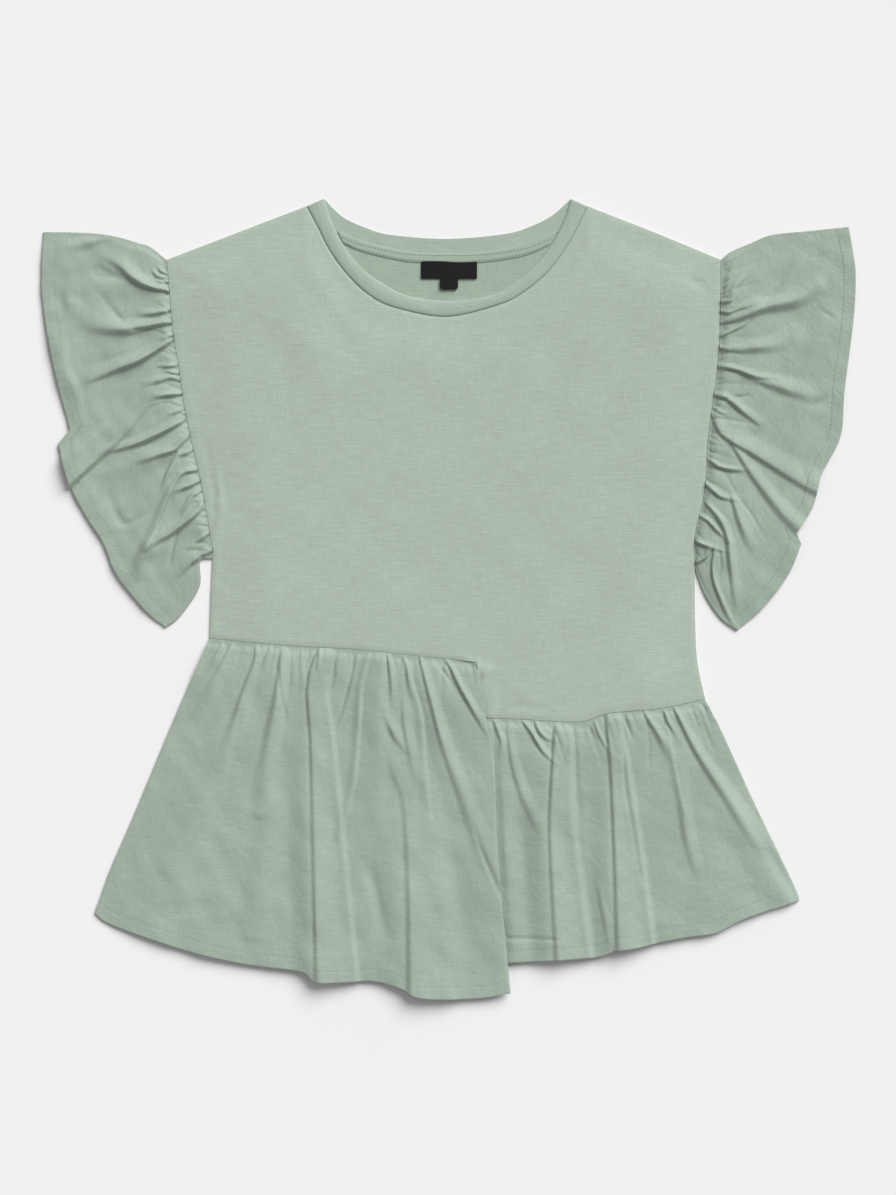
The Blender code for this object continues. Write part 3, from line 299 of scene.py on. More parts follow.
RUFFLE_RIGHT_FOLDS = (
    (((246, 300.5), (248, 291.5), (251.5, 296.5), (255, 304)), (-1.6, -1.9, 0), (1.2, 1.3)),
    (((245.5, 280), (249.5, 284.5), (252, 289)), (-1.9, -1.4, 0), (1.2, 1.2)),
    (((245, 264.5), (254.5, 265), (257, 270), (261.5, 279.5), (272.5, 290)),
     (2.2, 3, 0.4), (1.2, 4), (4, 7)),
    (((245, 278), (249.5, 278.5)), (-1.8, -1.1, 0), (1.2, 1.2)),
    (((245, 269), (251.5, 270)), (-1.8, -1.1, 0), (1.2, 1.2)),
    (((245, 255.5), (253.5, 254.5), (260.5, 257.5), (281.5, 263.5), (288.5, 269)),
     (2.7, 3, 0.5), (1.2, 4), (4, 7)),
    (((288, 269), (294.5, 276), (301.5, 288.5), (311.5, 303)), (-0.5, -1.4, -0.1), (1.4, 1.8), (2.5, 3)),
    (((244.5, 245), (265, 249), (285, 255), (316, 259), (338, 270)), (3, 7, 3), (1.1, 13), (7, 13)),
    (((245, 241.5), (253.5, 242)), (-1.8, -1.2, 0), (1.2, 1.2)),
    (((247, 235), (256, 239), (265, 243.5), (273.5, 251.5)), (2.4, 3, 0.7), (1.2, 1.4), (3, 4)),
    (((243, 224), (247.5, 222), (254.5, 221.5)), (2.2, 1.9, 0.3), (1.2, 2), (4, 5)),
    (((243, 220), (254.5, 220.5), (265, 219), (292, 219), (310, 221.5)),
     (1.9, 4.3, 0.4), (1.3, 11), (5, 14)),
    (((242.5, 206.5), (252, 205), (261.5, 202), (277, 196.5), (290.5, 195.5)),
     (2.7, 4.3, 0.5), (1.1, 2), (5, 6)),
    (((266.5, 199), (279.5, 191), (297, 183.5), (314.5, 176.5), (333.5, 172)),
     (1.1, 4.3, 1.6), (3, 10), (8, 18)),
    (((250.5, 179), (261.5, 180.5), (272.5, 182.5)), (-1.6, -1.8, 0), (1.2, 1.2)),
    (((238, 181), (247.5, 178.5), (254.5, 173.5), (261.5, 167), (274, 157)),
     (3.2, 4.3, 1.4), (1.1, 2.2), (6, 8)),
    (((237.5, 170), (244, 165.5), (251.5, 163)), (2.4, 1.6, 0), (1.2, 1.6), (3, 4)),
    (((338.5, 256), (346, 251.5)), (-0.9, -1.2, -0.3), (1.6, 1.6)),
    (((331, 174.5), (336.5, 178), (341, 184)), (-1.1, -1.2, -0.1), (2, 2)),
    (((318, 314.5), (332, 308.5), (344, 304)), (-0.4, -1.1, -0.3), (5, 6)),
    (((236.5, 161), (244.5, 145), (272, 127), (309, 102.5), (334, 87)), (2.1, 3.8, 3), (1.1, 6), (10, 24)),
    (((255, 134.5), (269.5, 109.5), (288.5, 81.5), (301, 66), (324, 43)),
     (1.8, 3.5, 2.7), (1.8, 9), (8, 14)),
    (((238, 119.5), (243, 116.5), (254.5, 113.5), (268, 113)), (3.4, 3.4, 0.4), (1.1, 1.8), (4, 5)),
    (((231, 100), (238, 94), (244.5, 89), (254.5, 86.5)), (3.4, 3.4, 1), (1.1, 1.6), (5, 5)),
    (((253.5, 86), (257, 72), (261, 59), (264.5, 49), (270.5, 38.5)), (2.1, 2.9, 0.4), (2.5, 6), (8, 10)),
    (((250.5, 108.5), (261, 89.5), (271, 77), (281, 59), (288.5, 46.5)), (-0.5, -1, -0.1), (1.4, 1.8)),
    (((230.5, 84.5), (243, 67.5), (249, 50.5), (249.5, 39), (254, -2.5)), (2.6, 4.2, 1), (1.2, 4), (5, 9)),
    (((224.5, 72.5), (232, 68), (239.5, 60), (246.5, 53)), (2.6, 3.4, 1), (1.1, 1.5), (4, 5)),
    (((220, 49.5), (228, 46.5), (234.5, 44), (241, 42)), (3.4, 3.4, 1.6), (1.1, 1.4), (4, 4)),
    (((220.5, 28.5), (226.5, 32), (232, 35.5), (235, 41.5)), (4.2, 4.4, 3.1), (1, 1.1), (4, 4)),
    (((237, 40.5), (235.5, 27.5), (238, 11.5), (249.5, -16.5), (257, -29)),
     (2.6, 3.4, 1.8), (1.1, 1.4), (4, 5)),
    (((243.5, 40.5), (244.5, 27.5), (242.5, 17)), (-1.3, -1.4, -0.3), (1.4, 1.6)),
    (((288.5, 156.5), (276, 146.5), (268.5, 156.5)), (-0.3, -0.9, -0.3), (5, 5)),
    (((319, 116), (320, 109.5), (322.5, 103.5)), (-0.5, -1, -0.3), (2, 3)),
)
BODICE_FOLDS = (
    (((-214, 122.5), (-209, 92.5), (-209.5, 74.5), (-212, 52)), (0.4, 2.1, 0.2), (1.3, 1.6), (8, 6)),
    (((-218, 135), (-221, 108), (-217.5, 83.5)), (-0.6, -1.3, -0.2), (4, 5)),
    (((223.5, 90), (223, 70), (223.5, 45)), (0.2, 1.1, 0.2), (2, 2), (4, 4)),
    (((36.5, -58.5), (31, -65.5), (27, -76.5)), (0.2, 1.9, 0.4), (1.3, 1.6), (5, 6)),
    (((43.5, -59.5), (28.5, -56), (16, -48.5)), (0.4, 1.9, 0.4), (6, 6), (10, 8)),
    (((42, -126), (46.5, -101), (46.5, -83)), (0.4, 1.3, 0.2), (6, 7), (10, 10)),
    (((53.5, -97), (68, -97.5), (87, -100)), (-0.4, -1.5, -0.2), (1.6, 2)),
    (((-240, 277), (-232.5, 283.5), (-223.5, 287)), (-0.6, -1.5, -0.4), (3, 4)),
    (((232, 277), (223.5, 283.5), (214, 287)), (-0.6, -1.3, -0.4), (3, 4)),
    (((-187.5, 268), (-156, 214), (-133.5, 160)), (0.2, 1.5, 0.2), (34, 34)),
    (((136.5, 151), (159, 214), (172.5, 268)), (0.2, 1.5, 0.2), (34, 34)),
)


class Hold(Enum):
    """How a sheet of cloth is held."""

    LAID = "laid"
    GATHERED = "gathered"
    STRETCHED = "stretched"


@dataclass(frozen=True)
class Fold:
    """Cloth raised on the left of a crease's way, or a groove along it where heights are negative.

    Attributes:
        way: Points (x, y) along the crease.
        heights: Its height at the way's start, middle and end.
        steep: Width of the flank on the crease, at the way's start and end.
        gentle: Width of the far flank, the same as the steep one where it is None.
        flat: Width of the flat top between them.
    """

    way: tuple
    heights: tuple[float, float, float]
    steep: tuple[float, float]
    gentle: tuple[float, float] | None = None
    flat: tuple[float, float] = (0, 0)

    STEPS = 16
    END_FADE = 6.0
    DIP = 0.35
    DIP_WIDTH = 1.3
    DIP_WIDEST = 6.0

    def beside(self, x: np.ndarray, y: np.ndarray) -> tuple[np.ndarray, np.ndarray, np.ndarray]:
        """Where each place lies beside the crease.

        Args:
            x: Places along X.
            y: Places along Y.

        Returns:
            The nearest share of the way, the distance to its left, and the distance past its ends.
        """
        curve = smooth_curve(self.way, even(self.STEPS))
        nearest = np.full(x.shape, np.inf)
        share, left, past = (np.zeros(x.shape) for _ in range(3))
        for index, (start, step) in enumerate(zip(curve, np.diff(curve, axis=0))):
            off_x, off_y = x - start[0], y - start[1]
            length = math.hypot(*step)
            run = (off_x * step[0] + off_y * step[1]) / length**2
            part = np.clip(run, 0, 1)
            distance = np.hypot(off_x - part * step[0], off_y - part * step[1])
            closer = distance < nearest
            nearest = np.where(closer, distance, nearest)
            share = np.where(closer, (index + part) / self.STEPS, share)
            left = np.where(closer, (step[0] * off_y - step[1] * off_x) / length, left)
            over = (index == 0) * np.maximum(-run, 0)
            over = over + (index == self.STEPS - 1) * np.maximum(run - 1, 0)
            past = np.where(closer, over * length, past)
        return share, left, past

    def height(self, x: np.ndarray, y: np.ndarray) -> np.ndarray:
        """The fold's height at each place, zero away from it.

        Args:
            x: Places along X.
            y: Places along Y.

        Returns:
            One height for each place.
        """
        share, left, past = self.beside(x, y)
        widths = (self.steep, self.gentle or self.steep, self.flat)
        steep, gentle, flat = (start + (end - start) * share for start, end in widths)
        crest = np.interp(share, (0, 0.5, 1), self.heights) * np.exp(-((past / self.END_FADE) ** 2))
        if self.heights[1] < 0:
            return crest * np.exp(-((left / np.where(left > 0, gentle, steep)) ** 2))
        fall = 1 - smooth_step((left - steep - flat) / gentle)
        dip = self.DIP * np.exp(-((left / self.DIP_WIDTH) ** 2))
        dip = dip * (1 - smooth_step(steep / self.DIP_WIDEST))
        return crest * (smooth_step(left / steep) * fall - dip)


def folded(rows: tuple, plan: np.ndarray) -> np.ndarray:
    """The summed folds of a table over a plan, softened to what its grid can hold.

    Args:
        rows: The table's rows.
        plan: Rows, columns and (x, y).

    Returns:
        One height for each point.
    """
    height = sum(Fold(*row).height(plan[..., 0], plan[..., 1]) for row in rows)
    near = np.pad(height, 1, mode="edge")
    around = near[:-2, 1:-1] + near[2:, 1:-1] + near[1:-1, :-2] + near[1:-1, 2:]
    return height / 2 + around / 8


@dataclass(frozen=True)
class Crumple:
    """Soft, irregular waviness: a sum of seeded plane waves."""

    seed: int
    height: float
    shortest: float
    longest: float
    waves: int = 14

    BENDS = (0.3, 1.2)
    BEND_LENGTH = 2.7
    FALL_OFF = 0.7

    def over(self, x: np.ndarray, y: np.ndarray) -> np.ndarray:
        """Heights of the waviness at each place of a grid.

        Args:
            x: Places along X.
            y: Places along Y.

        Returns:
            One height for each place.
        """
        chance = random.Random(self.seed)
        total = np.zeros_like(x)
        for _ in range(self.waves):
            angle = chance.uniform(0, math.pi)
            length = self.shortest * (self.longest / self.shortest) ** chance.random()
            phase = chance.uniform(0, 2 * math.pi)
            bend = chance.uniform(*self.BENDS) * np.sin((x - y) / (self.BEND_LENGTH * length) + phase)
            run = (x * math.cos(angle) + y * math.sin(angle)) / length * 2 * math.pi
            total += np.sin(run + phase + bend) * (length / self.longest) ** self.FALL_OFF
        return total * self.height / math.sqrt(self.waves)


@dataclass(frozen=True)
class Gathers:
    """Creases that start at a gathered seam and die out, uneven in spacing, length and depth.

    Between two creases the cloth stands up as a rounded puff.
    """

    seed: int
    spacing: float
    depth: float
    width: float
    length: float

    FIRST = (0.2, 0.8)
    SPACINGS = (0.5, 1.6)
    WIDTHS = (0.7, 1.6)
    LENGTHS = (0.35, 1.7)
    DEPTHS = (0.4, 1.2)
    LEAN = 0.12
    BEND = 2.0

    def over(self, grid: np.ndarray) -> np.ndarray:
        """Heights over a grid whose first row is the seam: zero on the puffs, less in a crease.

        Args:
            grid: Rows, columns and (x, y).

        Returns:
            One height for each point.
        """
        chance = random.Random(self.seed)
        along = lengths_along(grid, 1)
        down = lengths_along(grid, 0)
        seam = along[0, -1]
        total = np.zeros(grid.shape[:2])
        place = self.spacing * chance.uniform(*self.FIRST)
        while place < seam:
            lean = chance.uniform(-self.LEAN, self.LEAN)
            width = self.width * chance.uniform(*self.WIDTHS)
            length = self.length * chance.uniform(*self.LENGTHS)
            depth = self.depth * chance.uniform(*self.DEPTHS)
            bend = self.BEND * math.sin(place) * np.sin(down / length * 2)
            across = np.abs(along - along[:, -1:] * place / seam - lean * down - bend)
            fade = smooth_step(1 - down / length)
            total = np.minimum(total, -depth * fade * np.exp(-across / width))
            place += self.spacing * chance.uniform(*self.SPACINGS)
        return total


@dataclass(frozen=True)
class SeamPuff:
    """The gathered cloth that stands up along its seam, with long and short creases in it."""

    seed: int
    rise: float = 1.8
    onset: float = 9.0
    crest: float = 12.0
    reach: float = 75.0

    def over(self, grid: np.ndarray) -> np.ndarray:
        """Heights over a grid whose first row is the seam.

        Args:
            grid: Rows, columns and (x, y).

        Returns:
            One height for each point.
        """
        down = lengths_along(grid, 0)
        fall = 1 - smooth_step((down - self.crest) / self.reach)
        long = Gathers(self.seed, spacing=11.0, depth=1.3, width=1.4, length=34.0).over(grid)
        short = Gathers(self.seed + 100, spacing=4.2, depth=1.3, width=0.9, length=10.0).over(grid)
        return self.rise * smooth_step(down / self.onset) * fall + long + short


def hem_puckers(plan: np.ndarray, seed: int) -> np.ndarray:
    """Short, shallow creases that run up from a stitched hem, the plan's last row."""
    return Gathers(seed, spacing=6.0, depth=0.3, width=1.3, length=16.0).over(plan[::-1])[::-1]


def drawn_down(down: np.ndarray, depth: float, reach: float = 3.0) -> np.ndarray:
    """How far the stitches of a gathered seam draw the cloth down beside it."""
    return depth * np.exp(-((down / reach) ** 2))


def run_of(points: np.ndarray) -> np.ndarray:
    """How far each point lies along the line through them all."""
    return np.r_[0, np.cumsum(np.linalg.norm(np.diff(points, axis=0), axis=1))]


def smooth_curve(points: Points, shares: np.ndarray) -> np.ndarray:
    """Points on a smooth curve through the given ones.

    Args:
        points: Rows of (x, y).
        shares: Where along the curve's length each point is wanted, from 0 to 1.

    Returns:
        One (x, y) for each share.
    """
    points = np.array(points, float)
    if len(points) > 2:
        ends = np.vstack([2 * points[0] - points[1], points, 2 * points[-1] - points[-2]])
        part = even(CURVE_STEPS)[:-1, None]
        fine = []
        for a, b, c, d in zip(ends, ends[1:], ends[2:], ends[3:]):
            ahead, behind = (c - a) / 2, (d - b) / 2
            rise = 3 * (c - b) - 2 * ahead - behind
            turn = 2 * (b - c) + ahead + behind
            fine.append(b + part * (ahead + part * (rise + part * turn)))
        points = np.vstack(fine + [points[-1:]])
    lengths = run_of(points)
    return np.stack([np.interp(shares * lengths[-1], lengths, points[:, k]) for k in (0, 1)], axis=1)


def even(steps: int) -> np.ndarray:
    """Shares from 0 to 1 in equal steps."""
    return np.linspace(0, 1, steps + 1)


def joined(*stretches: tuple[int, Points]) -> np.ndarray:
    """One edge from stretches of (steps, points), with a crisp corner where two meet."""
    curves = [smooth_curve(points, even(steps)) for steps, points in stretches]
    return np.vstack([curves[0]] + [curve[1:] for curve in curves[1:]])


def cornered(points: tuple, corners: tuple, count: int) -> np.ndarray:
    """One edge of count steps through the points, with a crisp corner at each of the named ones.

    Args:
        points: Points on the edge.
        corners: Which of them are crisp.
        count: How many steps the edge has.

    Returns:
        The edge's points.
    """
    ends = [0, *corners, len(points) - 1]
    runs = [points[a:b + 1] for a, b in zip(ends, ends[1:])]
    lengths = [run_of(run)[-1] for run in runs]
    passed = np.round(np.cumsum(lengths) / sum(lengths) * count).astype(int)
    return joined(*zip(np.diff(passed, prepend=0), runs))


def stretched(top: np.ndarray, bottom: np.ndarray, left: np.ndarray, right: np.ndarray,
              down: np.ndarray) -> np.ndarray:
    """A grid of (x, y) between four edges.

    Args:
        top: The first row.
        bottom: The last row.
        left: The first column.
        right: The last column.
        down: The share of the way down at which each row lies.

    Returns:
        An array of rows, columns and (x, y).
    """
    down = down[:, None, None]
    across = np.linspace(0, 1, len(top))[None, :, None]
    between = (1 - down) * top[None] + down * bottom[None]
    sides = (1 - across) * left[:, None] + across * right[:, None]
    corners = (1 - down) * ((1 - across) * top[0] + across * top[-1]) + down * (
        (1 - across) * bottom[0] + across * bottom[-1]
    )
    return between + sides - corners


def lengths_along(grid: np.ndarray, axis: int) -> np.ndarray:
    """How far each point lies along its row (axis 1) or its column (axis 0)."""
    steps = np.linalg.norm(np.diff(grid, axis=axis), axis=2)
    return np.insert(np.cumsum(steps, axis=axis), 0, 0, axis=axis)


def smooth_step(share: np.ndarray) -> np.ndarray:
    """Eases from 0 to 1 as the share does."""
    share = np.clip(share, 0, 1)
    return share * share * (3 - 2 * share)


def puffed(distance: np.ndarray, puff: float | np.ndarray, reach: float) -> np.ndarray:
    """Where the underside of an upper layer lies before it is folded."""
    return EDGE_BOTTOM + puff * smooth_step(distance / reach)


def shifted(points: Points, x: float, y: float) -> np.ndarray:
    """The points moved by (x, y)."""
    return np.array(points, float) + (x, y)


def hem_shares(length: float, step: float) -> np.ndarray:
    """Row shares from seam to hem, closer together at the hem's turned edge and stitch line."""
    plain = np.arange(0, length - FINE_HEM, step)
    return np.r_[plain, length - np.array(HEM_ROWS)] / length


def mesh_data(name: str, mesh: bmesh.types.BMesh) -> bpy.types.Mesh:
    """Mesh data made from a bmesh, which is freed.

    Args:
        name: The data's name.
        mesh: The bmesh.

    Returns:
        The mesh data.
    """
    data = bpy.data.meshes.new(name)
    mesh.to_mesh(data)
    mesh.free()
    return data


def linked(name: str, data: bpy.types.ID) -> bpy.types.Object:
    """An object that holds the data, added to the scene.

    Args:
        name: The object's name.
        data: A mesh, a light or a camera.

    Returns:
        The object.
    """
    made = bpy.data.objects.new(name, data)
    bpy.context.scene.collection.objects.link(made)
    return made


@dataclass
class Cloth:
    """A piece of cloth as a grid of points on its outer face, in millimetres.

    Attributes:
        name: The piece's name.
        top: Rows, columns and (x, y, z) of the outer face.
        wall: The cloth's thickness.
        straight: Whether its grain runs along X and Y instead of along its rows.
    """

    name: str
    top: np.ndarray
    wall: float
    straight: bool = False

    def flat_coordinates(self) -> np.ndarray:
        """Where each point lies in the flat cloth, in metres, for the weave.

        Returns:
            Rows, columns and (along, down).
        """
        if self.straight:
            return self.top[..., :2] * MM
        along, down = lengths_along(self.top, 1), lengths_along(self.top, 0)
        return np.dstack([along - along[:, -1:] / 2, down]) * MM

    def new_grid(self, points: np.ndarray) -> tuple[bmesh.types.BMesh, object]:
        """A bmesh grid laid on the points, holding each point's place in the flat cloth.

        Args:
            points: Rows, columns and (x, y, z).

        Returns:
            The bmesh, and its layer of those places.
        """
        rows, columns = points.shape[:2]
        mesh = bmesh.new()
        bmesh.ops.create_grid(mesh, x_segments=columns - 1, y_segments=rows - 1, size=1)
        cut = mesh.verts.layers.float_vector.new("cut")
        flat = np.zeros((rows, columns, 3))
        flat[..., :2] = self.flat_coordinates()
        for vertex, point, place in zip(mesh.verts, points.reshape(-1, 3), flat.reshape(-1, 3)):
            vertex.co = point * MM
            vertex[cut] = place
        return mesh, cut

    def finish_mesh(self, mesh: bmesh.types.BMesh, cut: object) -> bpy.types.Object:
        """Turns a closed bmesh into an object with a UV map of the flat cloth.

        Args:
            mesh: The bmesh.
            cut: Its layer of places in the flat cloth.

        Returns:
            The object.
        """
        bmesh.ops.recalc_face_normals(mesh, faces=mesh.faces)
        weave = mesh.loops.layers.uv.new("cloth")
        for face in mesh.faces:
            face.smooth = True
            for corner in face.loops:
                corner[weave].uv = corner.vert[cut].xy
        data = mesh_data(self.name, mesh)
        data.set_sharp_from_angle(angle=SHARP_ANGLE)
        return linked(self.name, data)

    def build(self) -> bpy.types.Object:
        """A panel: the outer face, and the same face one wall lower.

        Returns:
            The panel's object.
        """
        mesh, cut = self.new_grid(self.top)
        copied = bmesh.ops.extrude_face_region(mesh, geom=mesh.faces[:])["geom"]
        under = [part for part in copied if isinstance(part, bmesh.types.BMVert)]
        bmesh.ops.translate(mesh, verts=under, vec=(0, 0, -self.wall * MM))
        return self.finish_mesh(mesh, cut)

    def line_from_hem(self, distance: float) -> tuple[np.ndarray, np.ndarray]:
        """The line on the outer face at one distance from the last row.

        Args:
            distance: That distance.

        Returns:
            The line's points, and the face's normal at each.
        """
        down = lengths_along(self.top, 0)
        to_hem = down[-1:] - down
        normals = np.cross(np.gradient(self.top, axis=1), np.gradient(self.top, axis=0))
        normals *= np.sign(normals[..., 2:])
        points, ways = [], []
        for column in range(self.top.shape[1]):
            near = to_hem[::-1, column]
            points.append([np.interp(distance, near, self.top[::-1, column, k]) for k in range(3)])
            ways.append([np.interp(distance, near, normals[::-1, column, k]) for k in range(3)])
        return np.array(points), np.array(ways)


@dataclass
class PressedTube(Cloth):
    """A tube pressed flat: the front layer in top, a back layer on the floor, and two folds.

    Attributes:
        back: Rows, columns and (x, y) of the back layer, its columns running as the front's do.
        fold_turn: How far each layer's edge stays back from the fold.
    """

    back: np.ndarray = field(default_factory=lambda: np.zeros((2, 2, 2)))
    fold_turn: float = 1.4

    RISE = 0.36
    BULGE = 0.28
    SLANT = 0.7

    def turn(self, over: np.ndarray, over_inner: np.ndarray, beneath: np.ndarray,
             beneath_inner: np.ndarray) -> tuple[np.ndarray, np.ndarray]:
        """Pulls both layers back from a fold and gives the three columns that turn round it.

        Args:
            over: The front layer's edge column.
            over_inner: The column next to it.
            beneath: The back layer's edge column.
            beneath_inner: The column next to it.

        Returns:
            Those columns, and the way out of the fold at each row.
        """
        outs = []
        for edge, inner in ((over, over_inner), (beneath, beneath_inner)):
            out = edge - inner
            out[:, 2] = 0
            outs.append(out / np.maximum(np.linalg.norm(out, axis=1), 1e-6)[:, None])
        middle = (over + beneath) / 2
        over -= outs[0] * self.fold_turn
        beneath -= outs[1] * self.fold_turn
        rise = np.zeros_like(over)
        rise[:, 2] = (over[:, 2] - beneath[:, 2]) * self.RISE
        bulge = outs[0] * self.fold_turn * self.BULGE
        return np.stack([middle + rise - bulge, middle, middle - rise - bulge], axis=1), outs[0]

    def build(self) -> bpy.types.Object:
        """The closed wall of the tube, open at its first and last rows.

        Returns:
            The tube's object.
        """
        layer = self.top.copy()
        under = np.dstack([self.back, np.zeros(self.back.shape[:2])])[:, ::-1]
        last, last_out = self.turn(layer[:, -1], layer[:, -2], under[:, 0], under[:, 1])
        first, first_out = self.turn(layer[:, 0], layer[:, 1], under[:, -1], under[:, -2])
        outer = np.concatenate([layer, last, under, first[:, ::-1], layer[:, :1]], axis=1)
        inward = np.zeros_like(outer)
        inward[..., 2] = -self.wall
        front, behind = layer.shape[1], under.shape[1]
        slant = self.wall * self.SLANT
        for start, out, order in ((front, last_out, 1), (front + 3 + behind, first_out, -1)):
            for step, (side, fall) in enumerate(((slant, -order * slant), (self.wall, 0),
                                                 (slant, order * slant))):
                inward[:, start + step] = -out * side
                inward[:, start + step, 2] = fall
        inward[:, front + 3: front + 3 + behind, 2] = self.wall
        whole = Cloth(self.name, outer, self.wall)
        mesh, cut = whole.new_grid(outer)
        shift = mesh.verts.layers.float_vector.new("inward")
        for vertex, way in zip(mesh.verts, inward.reshape(-1, 3)):
            vertex[shift] = way * MM
        bmesh.ops.remove_doubles(mesh, verts=mesh.verts, dist=1e-6)
        copied = bmesh.ops.extrude_face_region(mesh, geom=mesh.faces[:])["geom"]
        for part in copied:
            if isinstance(part, bmesh.types.BMVert):
                part.co += part[shift]
        return whole.finish_mesh(mesh, cut)


def rolled(distance: np.ndarray, radius: float = 1.0, drop: float = 0.5) -> np.ndarray:
    """How far a cloth's outer face falls near a free edge, so that the edge looks rounded."""
    return -drop * (1 - np.clip(distance / radius, 0, 1)) ** 2


def hem_band(to_hem: np.ndarray, rise: float = 0.14, ramp: float = 0.9, groove: float = 0.2,
             groove_width: float = 0.6) -> np.ndarray:
    """The turned-up hem: a step up at its stitch line, a groove there and a rounded edge.

    Args:
        to_hem: Distance to the hem's edge.
        rise: Height of the step.
        ramp: Width over which it rises.
        groove: Depth of the groove.
        groove_width: Width of the groove.

    Returns:
        One height for each point.
    """
    step = rise * smooth_step((HEM_DEPTH + groove_width - to_hem) / ramp)
    dent = groove * np.exp(-(((to_hem - HEM_DEPTH) / groove_width) ** 2))
    return step - dent + rolled(to_hem, radius=0.9, drop=0.55)


@dataclass(frozen=True)
class Stitching:
    """A row of stitches lying on cloth.

    Attributes:
        name: The piece's name.
        length: A stitch's length.
        gap: The space between stitches.
        width: The thread's width.
    """

    name: str
    length: float = 1.5
    gap: float = 1.7
    width: float = 0.6

    LIFT = 0.05

    def build(self, lines: list[tuple[np.ndarray, np.ndarray]]) -> bpy.types.Object:
        """One object that holds every stitch along the lines.

        Args:
            lines: Pairs of points and normals, in millimetres.

        Returns:
            The joined stitches.
        """
        mesh = bmesh.new()
        for points, ways in lines:
            run = run_of(points)
            for start in np.arange(self.gap, run[-1] - self.length, self.length + self.gap):
                places = [start, start + self.length]
                a, b = (Vector([np.interp(s, run, points[:, k]) for k in range(3)]) for s in places)
                up = Vector([np.interp(start, run, ways[:, k]) for k in range(3)]).normalized()
                along = (b - a).normalized()
                side = up.cross(along).normalized()
                up = along.cross(side)
                turn = Matrix((along, side, up)).transposed().to_4x4()
                size = Matrix.Diagonal((self.length / 2, self.width / 2, self.width / 2, 1))
                place = Matrix.Translation((a + b) / 2 + up * self.LIFT)
                scale = Matrix.Scale(MM, 4)
                bmesh.ops.create_uvsphere(mesh, u_segments=6, v_segments=5, radius=1,
                                          matrix=scale @ place @ turn @ size)
        data = mesh_data(self.name, mesh)
        data.shade_smooth()
        return linked(self.name, data)


